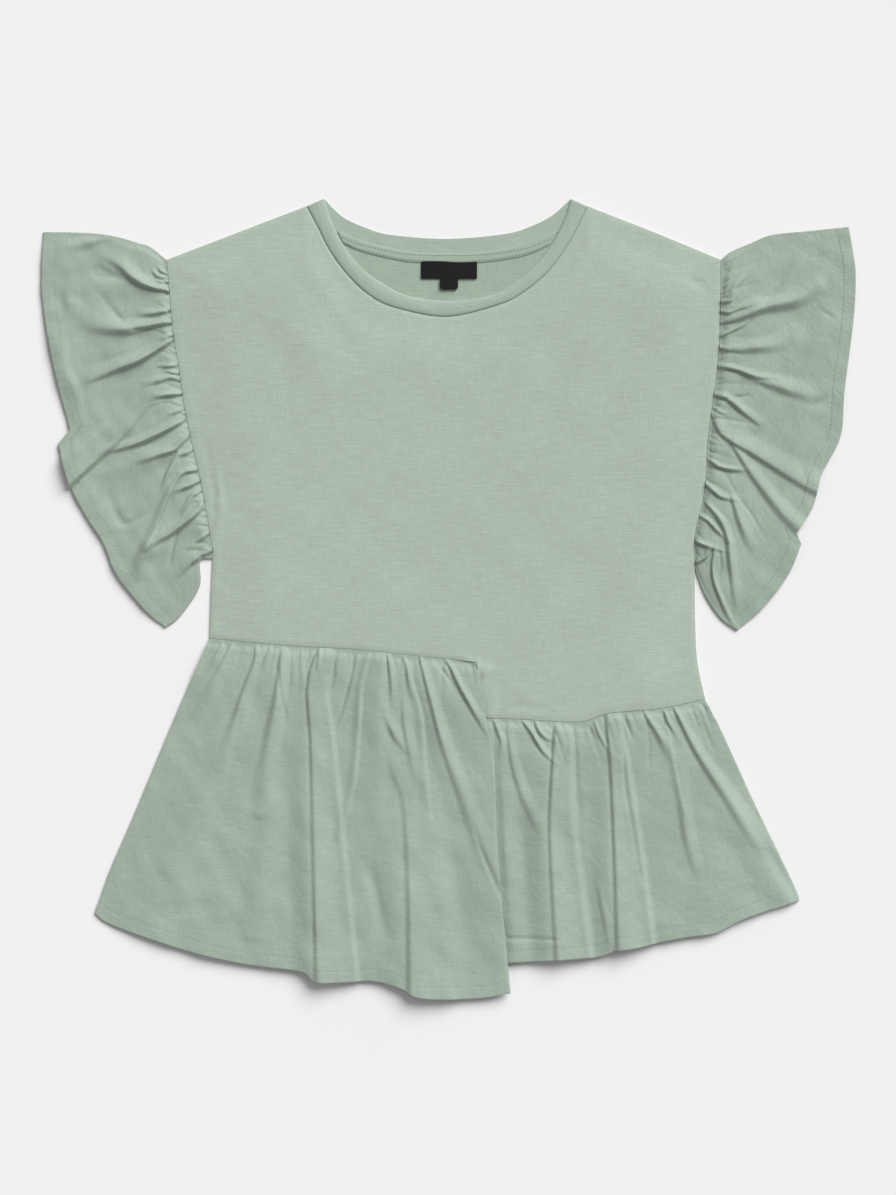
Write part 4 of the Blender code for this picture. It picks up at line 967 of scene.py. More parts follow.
class Nodes:
    """A short way to add and join shader nodes.

    Attributes:
        DRAWN_OUT: A thread's coordinates along it, as a share of those across it.
        ONE_BAND: The wave texture's scale at which one band takes up about one unit.
        NOISE_RANGE: The values between which most of a noise lies.
    """

    DRAWN_OUT = 0.02
    ONE_BAND = 0.32
    NOISE_RANGE = (0.3, 0.7)

    def __init__(self, name: str) -> None:
        """Starts a material with a Principled shader.

        Args:
            name: The material's name.
        """
        self.made = bpy.data.materials.new(name)
        self.made.use_nodes = True
        self.tree = self.made.node_tree
        self.shader = self.tree.nodes["Principled BSDF"]

    def add(self, kind: str, inputs: dict | None = None, **settings: object) -> bpy.types.Node:
        """Adds one node.

        Args:
            kind: The node's type.
            inputs: Values or output sockets by input name or number.
            **settings: The node's own properties.

        Returns:
            The node.
        """
        node = self.tree.nodes.new(kind)
        for key, value in settings.items():
            setattr(node, key, value)
        for key, value in (inputs or {}).items():
            if isinstance(value, bpy.types.NodeSocket):
                self.tree.links.new(value, node.inputs[key])
            else:
                node.inputs[key].default_value = value
        return node

    def pattern(self, scale: tuple[float, float, float]) -> bpy.types.NodeSocket:
        """The cloth's own coordinates, scaled to one unit per repeat."""
        place = self.add("ShaderNodeTexCoord")
        return self.add("ShaderNodeMapping", {"Vector": place.outputs["UV"], "Scale": scale}).outputs[0]

    def noise(self, scale: tuple[float, float, float], detail: float = 2.0,
              distortion: float = 0.0) -> bpy.types.NodeSocket:
        """Noise stretched over the cloth by its scale along and across."""
        return self.add("ShaderNodeTexNoise", {"Vector": self.pattern(scale), "Scale": 1.0,
                                               "Detail": detail, "Distortion": distortion}).outputs[0]

    def grain(self, scale: float) -> bpy.types.NodeSocket:
        """Noise on object coordinates."""
        place = self.add("ShaderNodeTexCoord").outputs["Object"]
        return self.add("ShaderNodeTexNoise", {"Vector": place, "Scale": scale}).outputs[0]

    def wave(self, repeat: float, across: str, distortion: float,
             detail: float = 2.0) -> bpy.types.NodeSocket:
        """Threads or ribs.

        Args:
            repeat: How many of them go to a metre.
            across: The way that they follow one another, X or Y.
            distortion: How far they stray.
            detail: How finely they stray.

        Returns:
            Their relief, from 0 to 1.
        """
        drawn_out = repeat * self.DRAWN_OUT
        scale = (repeat, drawn_out, 1) if across == "X" else (drawn_out, repeat, 1)
        return self.add("ShaderNodeTexWave", {"Vector": self.pattern(scale), "Scale": self.ONE_BAND,
                                              "Distortion": distortion, "Detail": detail},
                        bands_direction=across).outputs["Fac"]

    def math(self, operation: str, first: object, second: object) -> bpy.types.NodeSocket:
        """Arithmetic on sockets or numbers."""
        return self.add("ShaderNodeMath", {0: first, 1: second}, operation=operation).outputs[0]

    def spread(self, value: bpy.types.NodeSocket, low: float, high: float, to_low: float,
               to_high: float) -> bpy.types.NodeSocket:
        """Maps a range of a value on to another.

        Args:
            value: What is mapped.
            low: Where its range starts.
            high: Where its range ends.
            to_low: What the start becomes.
            to_high: What the end becomes.

        Returns:
            The mapped value.
        """
        node = self.add("ShaderNodeMapRange", {0: value, 1: low, 2: high, 3: to_low, 4: to_high})
        return node.outputs[0]

    def varied(self, value: bpy.types.NodeSocket, share: float) -> bpy.types.NodeSocket:
        """A factor near 1 that follows a noise by a share up and down."""
        return self.spread(value, *self.NOISE_RANGE, 1 - share, 1 + share)

    def tinted(self, colour: tuple[float, float, float],
               factor: bpy.types.NodeSocket) -> bpy.types.NodeSocket:
        """The colour made lighter or darker by a factor near 1."""
        return self.add("ShaderNodeVectorMath", {0: colour, "Scale": factor},
                        operation="SCALE").outputs[0]

    def bump(self, height: bpy.types.NodeSocket, distance: float, strength: float,
             under: bpy.types.NodeSocket | None = None) -> bpy.types.NodeSocket:
        """A bump on the surface, on top of another one if it is given.

        Args:
            height: The relief, from 0 to 1.
            distance: Its full height in metres.
            strength: The share of it that shows.
            under: The normal that it lies on.

        Returns:
            The bent normal.
        """
        inputs = {"Height": height, "Distance": distance, "Strength": strength}
        if under is not None:
            inputs["Normal"] = under
        return self.add("ShaderNodeBump", inputs).outputs[0]

    def finished(self, colour: bpy.types.NodeSocket, values: dict[str, float],
                 normal: bpy.types.NodeSocket | None = None) -> bpy.types.Material:
        """The material, once its shader is set.

        Args:
            colour: What gives the base colour.
            values: Numbers by the shader's input names.
            normal: What gives the relief, if anything does.

        Returns:
            The material.
        """
        self.tree.links.new(colour, self.shader.inputs["Base Color"])
        if normal is not None:
            self.tree.links.new(normal, self.shader.inputs["Normal"])
        for name, value in values.items():
            self.shader.inputs[name].default_value = value
        return self.made


@dataclass(frozen=True)
class ClothFinish:
    """A dyed cotton cloth: its colour, thread, slubs and faint mottling.

    Attributes:
        name: The material's name.
        colour: Base colour, linear.
        thread: The pitch of the weave or knit, in millimetres.
        slub: How strongly thicker threads show, as a share of the colour.
        mottle: How strongly the dye varies, as a share of the colour.
        crinkle: Height of the fine crinkle, in millimetres.
        knit: Whether loops show instead of a plain weave.
        fuzz: How strongly the finest grain shows, as a share of the colour.
    """

    name: str
    colour: tuple[float, float, float]
    thread: float = 0.55
    slub: float = 0.075
    mottle: float = 0.025
    crinkle: float = 0.3
    knit: bool = True
    fuzz: float = 0.03
    roughness: float = 0.86
    sheen: float = 0.18

    STREAKS = (55, 760, 1)
    CROSS_STREAKS = (760, 80, 1)
    CLOUDS = (16, 16, 1)
    GRAIN = (2600, 2600, 1)
    CREASES = (120, 95, 1)
    STREAK_RELIEF = 0.12
    THREAD_RELIEF = 0.08

    def thread_height(self, nodes: Nodes) -> bpy.types.NodeSocket:
        """The relief of single threads or loops.

        Args:
            nodes: The material's nodes.

        Returns:
            The relief's height.
        """
        warp = 1 / (self.thread * MM)
        weft = warp * (1.3 if self.knit else 1.0)
        threads = nodes.wave(warp, "X", 0.6, 1.0), nodes.wave(weft, "Y", 0.6, 1.0)
        return nodes.math("MULTIPLY" if self.knit else "ADD", *threads)

    def material(self) -> bpy.types.Material:
        """The cloth's material, on the UV map of the flat cloth.

        Returns:
            The material.
        """
        nodes = Nodes(self.name)
        streaks = nodes.noise(self.STREAKS, 4.0)
        cross = nodes.noise(self.CROSS_STREAKS, 2.0)
        clouds = nodes.noise(self.CLOUDS, 3.0, 0.4)
        grain = nodes.noise(self.GRAIN, 1.0)
        tone = nodes.varied(streaks, self.slub)
        for value, share in ((cross, self.slub / 2), (clouds, self.mottle), (grain, self.fuzz)):
            tone = nodes.math("MULTIPLY", tone, nodes.varied(value, share))
        creases = nodes.noise(self.CREASES, 4.0, 0.8)
        relief = nodes.bump(creases, self.crinkle * MM, 1.0)
        relief = nodes.bump(streaks, self.STREAK_RELIEF * MM, 0.8, relief)
        relief = nodes.bump(self.thread_height(nodes), self.THREAD_RELIEF * MM, 0.5, relief)
        values = {"Roughness": self.roughness, "Sheen Weight": self.sheen, "Sheen Roughness": 0.5,
                  "Specular IOR Level": 0.25}
        return nodes.finished(nodes.tinted(self.colour, tone), values, relief)


@dataclass(frozen=True)
class LabelFinish:
    """Black woven satin with fine ribs."""

    name: str = "black woven label"
    colour: tuple[float, float, float] = (0.012, 0.0115, 0.012)
    rib: float = 0.35

    def material(self) -> bpy.types.Material:
        """The label's material."""
        nodes = Nodes(self.name)
        ribs = nodes.wave(1 / (self.rib * MM), "Y", 0.8)
        lint = nodes.noise((900, 1400, 1), 3.0)
        tone = nodes.math("MULTIPLY", nodes.spread(ribs, 0, 1, 0.75, 1.3),
                          nodes.spread(lint, 0.3, 0.75, 0.8, 1.7))
        values = {"Roughness": 0.7, "Specular IOR Level": 0.08}
        return nodes.finished(nodes.tinted(self.colour, tone), values, nodes.bump(ribs, 0.1 * MM, 0.6))


@dataclass(frozen=True)
class ThreadFinish:
    """Sewing thread with a twist."""

    name: str
    colour: tuple[float, float, float]

    def material(self) -> bpy.types.Material:
        """The thread's material, on object coordinates."""
        nodes = Nodes(self.name)
        ply = nodes.grain(2200.0)
        tone = nodes.varied(ply, 0.15)
        return nodes.finished(nodes.tinted(self.colour, tone), {"Roughness": 0.6},
                              nodes.bump(ply, 0.08 * MM, 0.6))


def made_of(finish: ClothFinish | LabelFinish | ThreadFinish) -> bpy.types.Material:
    """A dataclass field that holds the finish's material."""
    return field(default_factory=finish.material)


@dataclass
class Wardrobe:
    """Every finish of the blouse, made once."""

    jersey: bpy.types.Material = made_of(ClothFinish("sage jersey", (0.405, 0.482, 0.405)))
    # The rib's colour is the jersey's darkened by painted shade, for the shade that falls on the band's
    # roll.
    band: bpy.types.Material = made_of(ClothFinish("sage jersey rib, painted shade", (0.375, 0.455, 0.378), slub=0.06))
    # The back bodice's inner face, seen between the neck and the front, is the same jersey darkened by
    # painted shade for the shade in that recess.
    inside: bpy.types.Material = made_of(ClothFinish("sage jersey, painted shade", (0.35, 0.436, 0.35)))
    poplin: bpy.types.Material = made_of(ClothFinish(
        "sage poplin", (0.353, 0.427, 0.359), thread=0.42, slub=0.06, mottle=0.045, crinkle=0.6,
        knit=False))
    tape: bpy.types.Material = made_of(ClothFinish(
        "sage tape", (0.36, 0.44, 0.36), thread=0.7, slub=0.03, mottle=0.02, crinkle=0.1, knit=False))
    label: bpy.types.Material = made_of(LabelFinish())
    thread: bpy.types.Material = made_of(ThreadFinish("sage thread", (0.19, 0.25, 0.195)))
    tape_thread: bpy.types.Material = made_of(ThreadFinish("deep sage thread", (0.13, 0.19, 0.135)))


def dress(piece: bpy.types.Object, finish: bpy.types.Material, slot: str, *nodes: str) -> None:
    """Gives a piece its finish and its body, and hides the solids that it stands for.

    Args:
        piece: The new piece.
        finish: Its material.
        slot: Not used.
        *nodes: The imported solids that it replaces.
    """
    piece.data.materials.append(finish)
    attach(piece, ROOT)
    if nodes:
        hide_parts(*nodes)
    triangles = sum(len(face.vertices) - 2 for face in piece.data.polygons)
    LOG.info("%s: %d triangles", piece.name, triangles)


@dataclass
class Bodice:
    """The front and back bodices, which share their shoulders, armholes, sides and waist."""

    columns: tuple[int, int, int] = (36, 110, 36)
    waist: tuple[int, int, int] = (96, 12, 74)
    rows: tuple[int, int] = (96, 34)
    puff: float = 2.6
    puff_reach: float = 55.0
    crumple: Crumple = Crumple(3, height=0.45, shortest=45, longest=150)
    crumple_onset: float = 25.0
    puckers: Gathers = Gathers(9, spacing=9.0, depth=0.35, width=2.2, length=22.0)
    step_place: float = 29.0
    step_width: float = 7.0
    flat: tuple[float, float] = (0.50, 0.47)

    def grid(self, neck_seam: tuple, thin: int) -> np.ndarray:
        """The plan of one bodice, every thin-th step of the front's.

        Args:
            neck_seam: Its neck seam.
            thin: How many of the front's steps make one.

        Returns:
            Rows, columns and (x, y).
        """
        shoulder, neck, _ = (count // thin for count in self.columns)
        left, step, right = (count // thin for count in self.waist)
        arm, side = (count // thin for count in self.rows)
        return stretched(
            joined((shoulder, SHOULDER_LEFT), (neck, neck_seam), (shoulder, SHOULDER_RIGHT)),
            joined((left, WAIST_LEFT), (step, WAIST_STEP), (right, WAIST_RIGHT)),
            joined((arm, ARMHOLE_LEFT), (side, SIDE_LEFT)),
            joined((arm, ARMHOLE_RIGHT), (side, SIDE_RIGHT)),
            even(arm + side),
        )

    def build_front(self, finish: bpy.types.Material) -> None:
        """The front bodice, gently puffed over the back one.

        Args:
            finish: Its material.
        """
        plan = self.grid(FRONT_NECK_SEAM, 1)
        x, y = plan[..., 0], plan[..., 1]
        across, down = lengths_along(plan, 1), lengths_along(plan, 0)
        to_side = np.minimum(across, across[:, -1:] - across)
        to_waist = down[-1:] - down
        to_edge = np.minimum(to_side, down)
        height = puffed(to_edge, self.puff, self.puff_reach)
        height += folded(BODICE_FOLDS, plan)
        height += self.crumple.over(x, y) * smooth_step(to_edge / self.crumple_onset)
        sideways = plan.transpose(1, 0, 2)
        height += self.puckers.over(sideways).T
        height += self.puckers.over(sideways[::-1])[::-1].T
        height = np.maximum(height, EDGE_BOTTOM) + JERSEY_WALL
        at_step = np.exp(-(((x - self.step_place) / self.step_width) ** 2))
        height += rolled(np.minimum(to_edge, to_waist), radius=1.6, drop=0.6) * (1 - at_step)
        piece = Cloth("front_bodice_cloth", np.dstack([plan, height]), JERSEY_WALL, True).build()
        dress(piece, finish, "jersey", "front_bodice")

    def build_back(self, finish: bpy.types.Material) -> None:
        """The back bodice, flat on the surface.

        Args:
            finish: Its material.
        """
        plan = self.grid(BACK_NECK_SEAM, 2)
        height = np.full(plan.shape[:2], JERSEY_WALL)
        piece = Cloth("back_bodice_cloth", np.dstack([plan, height]), JERSEY_WALL, True).build()
        dress(piece, finish, "jersey", "back_bodice")


@dataclass
class Neck:
    """The neckband, the tape over its back seam, and the two bare labels."""

    columns: int = 180
    rows: int = 14
    label_size: tuple[float, float] = (50.4, 16.2)
    tab_size: tuple[float, float] = (16.2, 9.4)
    label_place: tuple[float, float] = (0.5, 303.3)
    label_wall: float = 0.8
    tape_wall: float = 1.0
    tape_steps: tuple[int, int] = (120, 8)
    tape_stitches: tuple[float, float] = (1.9, 7.0)
    label_ripple: float = 0.25
    label_curl: float = 26.0
    band_fullness: float = 0.8

    def layer(self, free_edge: tuple, seam: tuple) -> np.ndarray:
        """One layer of the band, a seam's gap short of the bodice.

        Args:
            free_edge: The edge that goes round the neck.
            seam: The bodice's neck seam.

        Returns:
            Rows, columns and (x, y).
        """
        free = smooth_curve(free_edge, even(self.columns))
        sewn = smooth_curve(seam, even(self.columns))
        sewn = sewn + (free - sewn) / np.linalg.norm(free - sewn, axis=1)[:, None] * SEAM_GAP
        down = even(self.rows)
        return stretched(free, sewn, smooth_curve((free[0], sewn[0]), down),
                         smooth_curve((free[-1], sewn[-1]), down), down)

    def build_band(self, finish: bpy.types.Material) -> None:
        """The neckband, one ring folded at the two neck points.

        Args:
            finish: Its material.
        """
        front = self.layer(FRONT_NECK_EDGE, FRONT_NECK_SEAM)
        back = self.layer(BACK_NECK_EDGE, BACK_NECK_SEAM)
        down = lengths_along(front, 0)
        to_seam = down[-1:] - down
        height = np.full(front.shape[:2], EDGE_BOTTOM + JERSEY_WALL)
        height += rolled(down, radius=1.8, drop=0.7) + rolled(to_seam, radius=1.6, drop=0.7)
        height += self.band_fullness * np.sin(np.pi * np.clip(down / down[-1:], 0, 1))
        tube = PressedTube("neckband_cloth", np.dstack([front, height]), JERSEY_WALL, back=back)
        piece = tube.build()
        dress(piece, finish, "jersey", "neckband")

    def build_tape(self, finish: bpy.types.Material) -> Cloth:
        """The tape that covers the back neck seam.

        Args:
            finish: Its material.

        Returns:
            The tape's cloth, for its stitching.
        """
        along, down = (even(steps) for steps in self.tape_steps)
        upper, lower = (smooth_curve(edge, along) for edge in (TAPE_TOP, TAPE_BOTTOM))
        plan = stretched(upper, lower, smooth_curve((upper[0], lower[0]), down),
                         smooth_curve((upper[-1], lower[-1]), down), down)
        fall = lengths_along(plan, 0)
        height = np.full(plan.shape[:2], EDGE_BOTTOM + self.tape_wall)
        height += rolled(np.minimum(fall, fall[-1:] - fall))
        cloth = Cloth("neck_tape_cloth", np.dstack([plan, height]), self.tape_wall)
        piece = cloth.build()
        dress(piece, finish, "tape", "neck_tape")
        return cloth

    def build_label(self, name: str, node: str, top: float, size: tuple[float, float],
                    radius: float, lift: float, finish: bpy.types.Material) -> None:
        """One bare label with its upper edge at top, its lower corners rounded and curling up.

        Args:
            name: The piece's name.
            node: The solid that it replaces.
            top: Where its upper edge lies along Y.
            size: Its width and height.
            radius: Radius of its lower corners.
            lift: How far it curls up.
            finish: Its material.
        """
        width, height = size
        fall = np.linspace(0, height, 25)[:, None]
        short = np.clip(1 - (height - fall) / radius, 0, 1)
        half = width / 2 - radius * (1 - np.sqrt(1 - short**2))
        x = self.label_place[0] + np.linspace(-1, 1, 49)[None] * half
        y = np.broadcast_to(top - fall, x.shape)
        to_edge = np.minimum(half - np.abs(x - self.label_place[0]), np.minimum(fall, height - fall))
        z = EDGE_BOTTOM + self.tape_wall + rolled(to_edge, radius=0.8, drop=0.35)
        z = z + self.label_ripple * np.sin(x / 9) * np.sin(y / 5)
        z = z + lift * smooth_step((self.label_place[1] - y) / self.label_curl)
        piece = Cloth(name, np.dstack([x, y, z]), self.label_wall).build()
        dress(piece, finish, "label", node)

    def build(self, wardrobe: Wardrobe) -> None:
        """The band, tape, labels and their stitching.

        Args:
            wardrobe: The blouse's finishes.
        """
        self.build_band(wardrobe.band)
        tape = self.build_tape(wardrobe.tape)
        top = self.label_place[1]
        self.build_label("main_label_cloth", "main_label", top, self.label_size, radius=0.6, lift=1.2,
                         finish=wardrobe.label)
        top -= self.label_size[1] + SEAM_GAP
        self.build_label("size_label_cloth", "size_label", top, self.tab_size, radius=2.6, lift=1.6,
                         finish=wardrobe.label)
        stitching = Stitching("neck_tape_stitching", length=1.3, gap=1.5, width=0.8)
        stitches = stitching.build([tape.line_from_hem(distance) for distance in self.tape_stitches])
        dress(stitches, wardrobe.tape_thread, "tape")


@dataclass
class Sleeve:
    """A flutter sleeve: a gathered tube laid flat.

    Attributes:
        name: The solid that it replaces.
        side: The way from the bodice to its hem along X, -1 or 1.
        seam: Its edge at the armhole, from the shoulder down.
        hem: Its free edge, from the shoulder down.
        corners: Which points of the hem are crisp corners.
        top: Its fold at the shoulder, from seam to hem.
        under: Its fold at the underarm, from seam to hem.
        folds: Its table of creases.
        seed: What its small creases are drawn from.
    """

    name: str
    side: int
    seam: tuple
    hem: tuple
    corners: tuple
    top: tuple
    under: tuple
    folds: tuple
    seed: int
    columns: int = 290
    back_columns: int = 60
    step: float = 1.35
    puff: float = 1.6
    puff_reach: float = 30.0
    width: float = 125.0
    fold_onset: float = 8.0
    fold_sag: float = 0.1

    def plan(self, columns: int) -> np.ndarray:
        """One layer's plan, from its seam to its hem.

        Args:
            columns: Steps along the seam.

        Returns:
            Rows, columns and (x, y).
        """
        gap = self.side * SEAM_GAP
        down = hem_shares(self.width, self.step)
        return stretched(
            shifted(smooth_curve(self.seam, even(columns)), gap, 0),
            shifted(cornered(self.hem, self.corners, columns), gap, 0),
            shifted(smooth_curve(self.top, down), gap, 0),
            shifted(smooth_curve(self.under, down), gap, 0),
            down,
        )

    def build(self, wardrobe: Wardrobe) -> None:
        """The sleeve and the stitching of its hem.

        Args:
            wardrobe: The blouse's finishes.
        """
        plan = self.plan(self.columns)
        x, y = plan[..., 0], plan[..., 1]
        along, down = lengths_along(plan, 1), lengths_along(plan, 0)
        to_fold = np.minimum(along, along[:, -1:] - along)
        height = puffed(to_fold, self.puff, self.puff_reach)
        height += folded(self.folds, plan)
        height += SeamPuff(self.seed, reach=55.0).over(plan)
        height += hem_puckers(plan, self.seed + 7)
        height += Crumple(self.seed, height=0.8, shortest=15, longest=70, waves=22).over(x, y)
        height -= drawn_down(down, 1.2)
        height = EDGE_BOTTOM + (height - EDGE_BOTTOM) * smooth_step(to_fold / self.fold_onset)
        height = np.maximum(height, EDGE_BOTTOM - self.fold_sag) + POPLIN_WALL
        height += hem_band(down[-1:] - down)
        tube = PressedTube(self.name + "_cloth", np.dstack([plan, height]), POPLIN_WALL,
                           back=self.plan(self.back_columns))
        piece = tube.build()
        dress(piece, wardrobe.poplin, "poplin", self.name)
        stitches = Stitching(self.name + "_stitching").build([tube.line_from_hem(HEM_DEPTH)])
        dress(stitches, wardrobe.thread, "poplin")


@dataclass
class Peplum:
    """The gathered skirt: two front panels over two back ones.

    Attributes:
        lengths: From seam to hem, of the left and the right panels.
        columns: Steps along the seams of the left and the right front panels.
        step_depth: How far down the waist's step holds the left panel's free edge over it.
        step_end: How far down the free edge is held up at the step.
    """

    lengths: tuple[float, float] = (300.0, 220.0)
    columns: tuple[int, int] = (230, 186)
    step: float = 1.5
    back_step: float = 5.0
    puff: float = 2.6
    rise: float = 1.6
    floor_puff: float = 2.2
    reach: float = 55.0
    seam_reach: float = 35.0
    overlap_lift: float = 2.4
    overlap_floor: float = 2.0
    overlap_fade: float = 45.0
    overlap_width: float = 12.0
    overlap_start: float = 20.0
    overlap_onset: float = 30.0
    side_onset: float = 70.0
    step_floor: float = 4.9
    step_overlap: float = 1.5
    step_depth: float = 44.0
    step_end: float = 46.0
    step_fade: float = 20.0
    step_rise: float = 9.0

    def finish_panel(self, name: str, plan: np.ndarray, height: np.ndarray, floor: np.ndarray,
                     seed: int, wardrobe: Wardrobe) -> None:
        """Adds the finer shape to a front panel and builds it with its stitching.

        Args:
            name: The solid that it replaces.
            plan: Rows, columns and (x, y).
            height: Its underside with the main folds.
            floor: The lowest that its underside may lie.
            seed: What its small creases are drawn from.
            wardrobe: The blouse's finishes.
        """
        down = lengths_along(plan, 0)
        to_hem = down[-1:] - down
        height = height + SeamPuff(seed).over(plan)
        height += hem_puckers(plan, seed + 7)
        crumple = Crumple(seed, height=0.8, shortest=18, longest=90, waves=22)
        height += crumple.over(plan[..., 0], plan[..., 1])
        height -= drawn_down(down, 1.3)
        height = np.maximum(height, floor) + POPLIN_WALL + hem_band(to_hem)
        across = lengths_along(plan, 1)
        to_side = np.minimum(across, across[:, -1:] - across)
        height += rolled(to_side, radius=1.2, drop=0.5) * smooth_step(down / self.side_onset)
        cloth = Cloth(name + "_cloth", np.dstack([plan, height]), POPLIN_WALL)
        piece = cloth.build()
        dress(piece, wardrobe.poplin, "poplin", name)
        stitches = Stitching(name + "_stitching").build([cloth.line_from_hem(HEM_DEPTH)])
        dress(stitches, wardrobe.thread, "poplin")

    def build_front_left(self, wardrobe: Wardrobe) -> None:
        """The longer front panel, whose free edge lies over the shorter one.

        Args:
            wardrobe: The blouse's finishes.
        """
        length, columns = self.lengths[0], even(self.columns[0])
        down = hem_shares(length, self.step)
        edge = shifted(smooth_curve(WAIST_STEP + FREE_EDGE, down), -0.1, -SEAM_GAP)
        past_step = smooth_step((down * length - self.step_depth) / self.step_fade)
        edge[:, 0] += self.step_overlap * (1 - past_step)
        plan = stretched(
            shifted(smooth_curve(WAIST_LEFT, columns), 0, -SEAM_GAP),
            smooth_curve(HEM_LEFT, columns),
            shifted(smooth_curve(PEPLUM_SIDE_LEFT, down), 0, -SEAM_GAP),
            edge,
            down,
        )
        across, fall = lengths_along(plan, 1), lengths_along(plan, 0)
        from_seam = smooth_step(fall / self.seam_reach)
        past_edge = across - across[:, -1:]
        over = smooth_step(past_edge / self.overlap_fade + 1)
        over = over * smooth_step((fall - self.overlap_start) / self.overlap_onset)
        height = puffed(across, self.puff + self.rise * from_seam, self.reach)
        height += self.overlap_lift * over
        height += folded(PEPLUM_LEFT_FOLDS, plan)
        floor = puffed(across, self.floor_puff, self.reach) + self.overlap_floor * over
        at_step = smooth_step((past_edge + self.overlap_width) / self.step_rise)
        at_step = at_step * (1 - smooth_step((fall - self.step_end) / self.step_fade))
        floor = np.maximum(floor, self.step_floor * at_step)
        self.finish_panel("peplum_front_left", plan, height, floor, 11, wardrobe)

    def build_front_right(self, wardrobe: Wardrobe) -> None:
        """The shorter front panel, which goes on under the longer one's edge.

        Args:
            wardrobe: The blouse's finishes.
        """
        down = hem_shares(self.lengths[1], self.step)
        seam = joined((8, WAIST_UNDER), (self.columns[1], WAIST_RIGHT))
        plan = stretched(
            shifted(seam, 0, -SEAM_GAP),
            smooth_curve(HEM_RIGHT, even(len(seam) - 1)),
            shifted(smooth_curve(HIDDEN_EDGE, down), 0, -SEAM_GAP),
            shifted(smooth_curve(PEPLUM_SIDE_RIGHT, down), 0, -SEAM_GAP),
            down,
        )
        across, fall = lengths_along(plan, 1), lengths_along(plan, 0)
        from_side = across[:, -1:] - across
        clear = smooth_step((across - self.overlap_width) / self.seam_reach)
        rise = self.puff + self.rise * smooth_step(fall / self.seam_reach) * clear
        height = puffed(from_side, rise, self.reach)
        height += folded(PEPLUM_RIGHT_FOLDS, plan)
        floor = puffed(from_side, self.floor_puff, self.reach)
        self.finish_panel("peplum_front_right", plan, height, floor, 12, wardrobe)

    def build_back(self, wardrobe: Wardrobe) -> None:
        """The two back panels, hidden by the front ones.

        Args:
            wardrobe: The blouse's finishes.
        """
        down_left, down_right = (hem_shares(length, self.back_step) for length in self.lengths)
        split = joined((30, WAIST_STEP), (200, BACK_SPLIT))
        left = stretched(
            shifted(smooth_curve(WAIST_LEFT, even(90)), 0, -SEAM_GAP),
            smooth_curve(BACK_HEM_LEFT, even(90)),
            self.drawn_in(smooth_curve(PEPLUM_SIDE_LEFT, down_left), 1.5),
            shifted(smooth_curve(split, down_left), -SEAM_GAP, -SEAM_GAP),
            down_left,
        )
        right = stretched(
            shifted(smooth_curve(WAIST_RIGHT, even(80)), 0, -SEAM_GAP),
            smooth_curve(BACK_HEM_RIGHT, even(80)),
            shifted(smooth_curve(BACK_SPLIT_RIGHT, down_right), SEAM_GAP, -SEAM_GAP),
            self.drawn_in(smooth_curve(PEPLUM_SIDE_RIGHT, down_right), -1.5),
            down_right,
        )
        for name, plan, count, seed, flat, area in (
            ("peplum_back_left", left, 7, 5, (0.48, 0.31), 0.118),
            ("peplum_back_right", right, 6, 8, (0.36, 0.23), 0.066),
        ):
            height = self.back_ridges(plan, count, seed) + POPLIN_WALL
            piece = Cloth(name + "_cloth", np.dstack([plan, height]), POPLIN_WALL).build()
            dress(piece, wardrobe.poplin, "poplin", name)

    @staticmethod
    def drawn_in(points: np.ndarray, x: float) -> np.ndarray:
        """An edge that starts a seam's gap down and ends x further along."""
        return shifted(points, 0, -SEAM_GAP) + np.linspace(0, 1, len(points))[:, None] * (x, 0)

    @staticmethod
    def back_ridges(plan: np.ndarray, count: int, seed: int, most: float = 1.7) -> np.ndarray:
        """Low, uneven ridges that fan out over a back panel and leave its rims flat.

        Args:
            plan: Rows, columns and (x, y).
            count: How many ridges.
            seed: What they are drawn from.
            most: The most that one rises.

        Returns:
            One height for each point.
        """
        chance = random.Random(seed)
        share = np.linspace(0, 1, plan.shape[1])[None]
        down = np.linspace(0, 1, plan.shape[0])[:, None]
        total = np.zeros(plan.shape[:2])
        for index in range(count):
            crest = (index + 0.5 + chance.uniform(-0.25, 0.25)) / count
            width = chance.uniform(0.3, 0.5) / count
            height = most * chance.uniform(0.5, 1)
            near = np.clip(np.abs(share - crest) / width, 0, 1)
            ridge = height * (1 - near) ** 2 * (1 + 2 * near) * smooth_step(down * 3)
            total = np.maximum(total, ridge)
        return total * smooth_step(share * 8) * smooth_step((1 - share) * 8)

    def build(self, wardrobe: Wardrobe) -> None:
        """Back panels first, then the front ones that lie on them.

        Args:
            wardrobe: The blouse's finishes.
        """
        self.build_back(wardrobe)
        self.build_front_right(wardrobe)
        self.build_front_left(wardrobe)


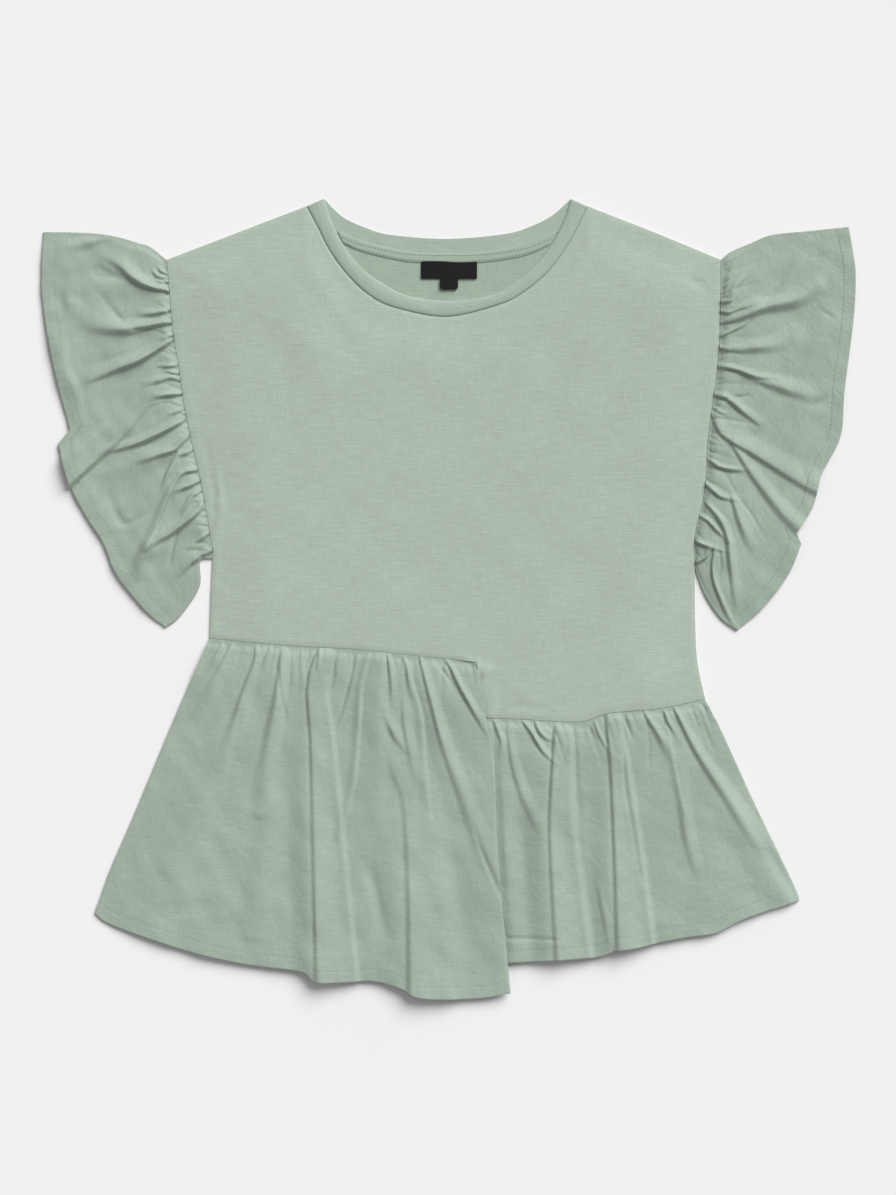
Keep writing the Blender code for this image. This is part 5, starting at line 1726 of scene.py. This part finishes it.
@dataclass
class Studio:
    """A pale floor, soft light from beyond the neck, and a camera straight overhead.

    Attributes:
        camera_height: Metres above the floor.
        frame_height: Metres of floor in the picture's long side.
        key_way: The way to the light.
        aim: The floor's point under the camera.
    """

    camera_height: float = 3.0
    frame_height: float = 1.0755
    sensor: float = 36.0
    floor_size: float = 8.0
    key_way: tuple[float, float, float] = (0.42, 0.60, 0.62)
    key_strength: float = 3.35
    key_spread: float = math.radians(42)
    sky: float = 0.33
    paper: tuple[float, float, float] = (0.86, 0.86, 0.858)
    aim: tuple[float, float] = (-0.00045, 0.00045)

    def build_floor(self) -> None:
        """The paper that the blouse lies on."""
        mesh = bmesh.new()
        bmesh.ops.create_grid(mesh, x_segments=4, y_segments=4, size=self.floor_size / 2)
        floor = linked("floor", mesh_data("floor", mesh))
        nodes = Nodes("white paper")
        tone = nodes.varied(nodes.grain(3.0), 0.01)
        values = {"Roughness": 0.9, "Specular IOR Level": 0.1}
        floor.data.materials.append(nodes.finished(nodes.tinted(self.paper, tone), values))

    def build_key(self) -> None:
        """One soft light from beyond the neck and to the right."""
        data = bpy.data.lights.new("key", "SUN")
        data.energy = self.key_strength
        data.angle = self.key_spread
        lamp = linked("key", data)
        lamp.rotation_euler = Vector(self.key_way).to_track_quat("Z", "Y").to_euler()

    def build_camera(self) -> None:
        """The camera, with the neck at the top of the picture."""
        data = bpy.data.cameras.new("overhead")
        data.sensor_width = self.sensor
        data.lens = self.sensor * self.camera_height / self.frame_height
        camera = linked("overhead", data)
        camera.location = (*self.aim, self.camera_height)
        bpy.context.scene.camera = camera

    def build(self) -> None:
        """The whole studio."""
        self.build_camera()
        self.build_floor()
        self.build_key()
        world = bpy.data.worlds.new("studio")
        world.use_nodes = True
        sky = world.node_tree.nodes["Background"].inputs
        sky["Color"].default_value = (1, 1, 1, 1)
        sky["Strength"].default_value = self.sky
        bpy.context.scene.world = world
        bpy.context.scene.view_settings.view_transform = "Standard"


def main() -> None:
    """Builds the studio and every sub-assembly."""
    logging.basicConfig(level=logging.INFO, format="%(name)s %(message)s")
    Studio().build()
    wardrobe = Wardrobe()
    bodice = Bodice()
    # The back bodice takes the jersey darkened by painted shade.
    bodice.build_back(wardrobe.inside)
    bodice.build_front(wardrobe.jersey)
    Neck().build(wardrobe)
    Sleeve("sleeve_ruffle_left", side=-1, seam=ARMHOLE_LEFT, hem=RUFFLE_HEM_LEFT, corners=(4, 5),
           top=RUFFLE_TOP_LEFT, under=RUFFLE_UNDER_LEFT, folds=RUFFLE_LEFT_FOLDS,
           seed=21).build(wardrobe)
    Sleeve("sleeve_ruffle_right", side=1, seam=ARMHOLE_RIGHT, hem=RUFFLE_HEM_RIGHT, corners=(8, 9),
           top=RUFFLE_TOP_RIGHT, under=RUFFLE_UNDER_RIGHT, folds=RUFFLE_RIGHT_FOLDS,
           seed=22).build(wardrobe)
    Peplum().build(wardrobe)


if __name__ == "__main__":
    main()
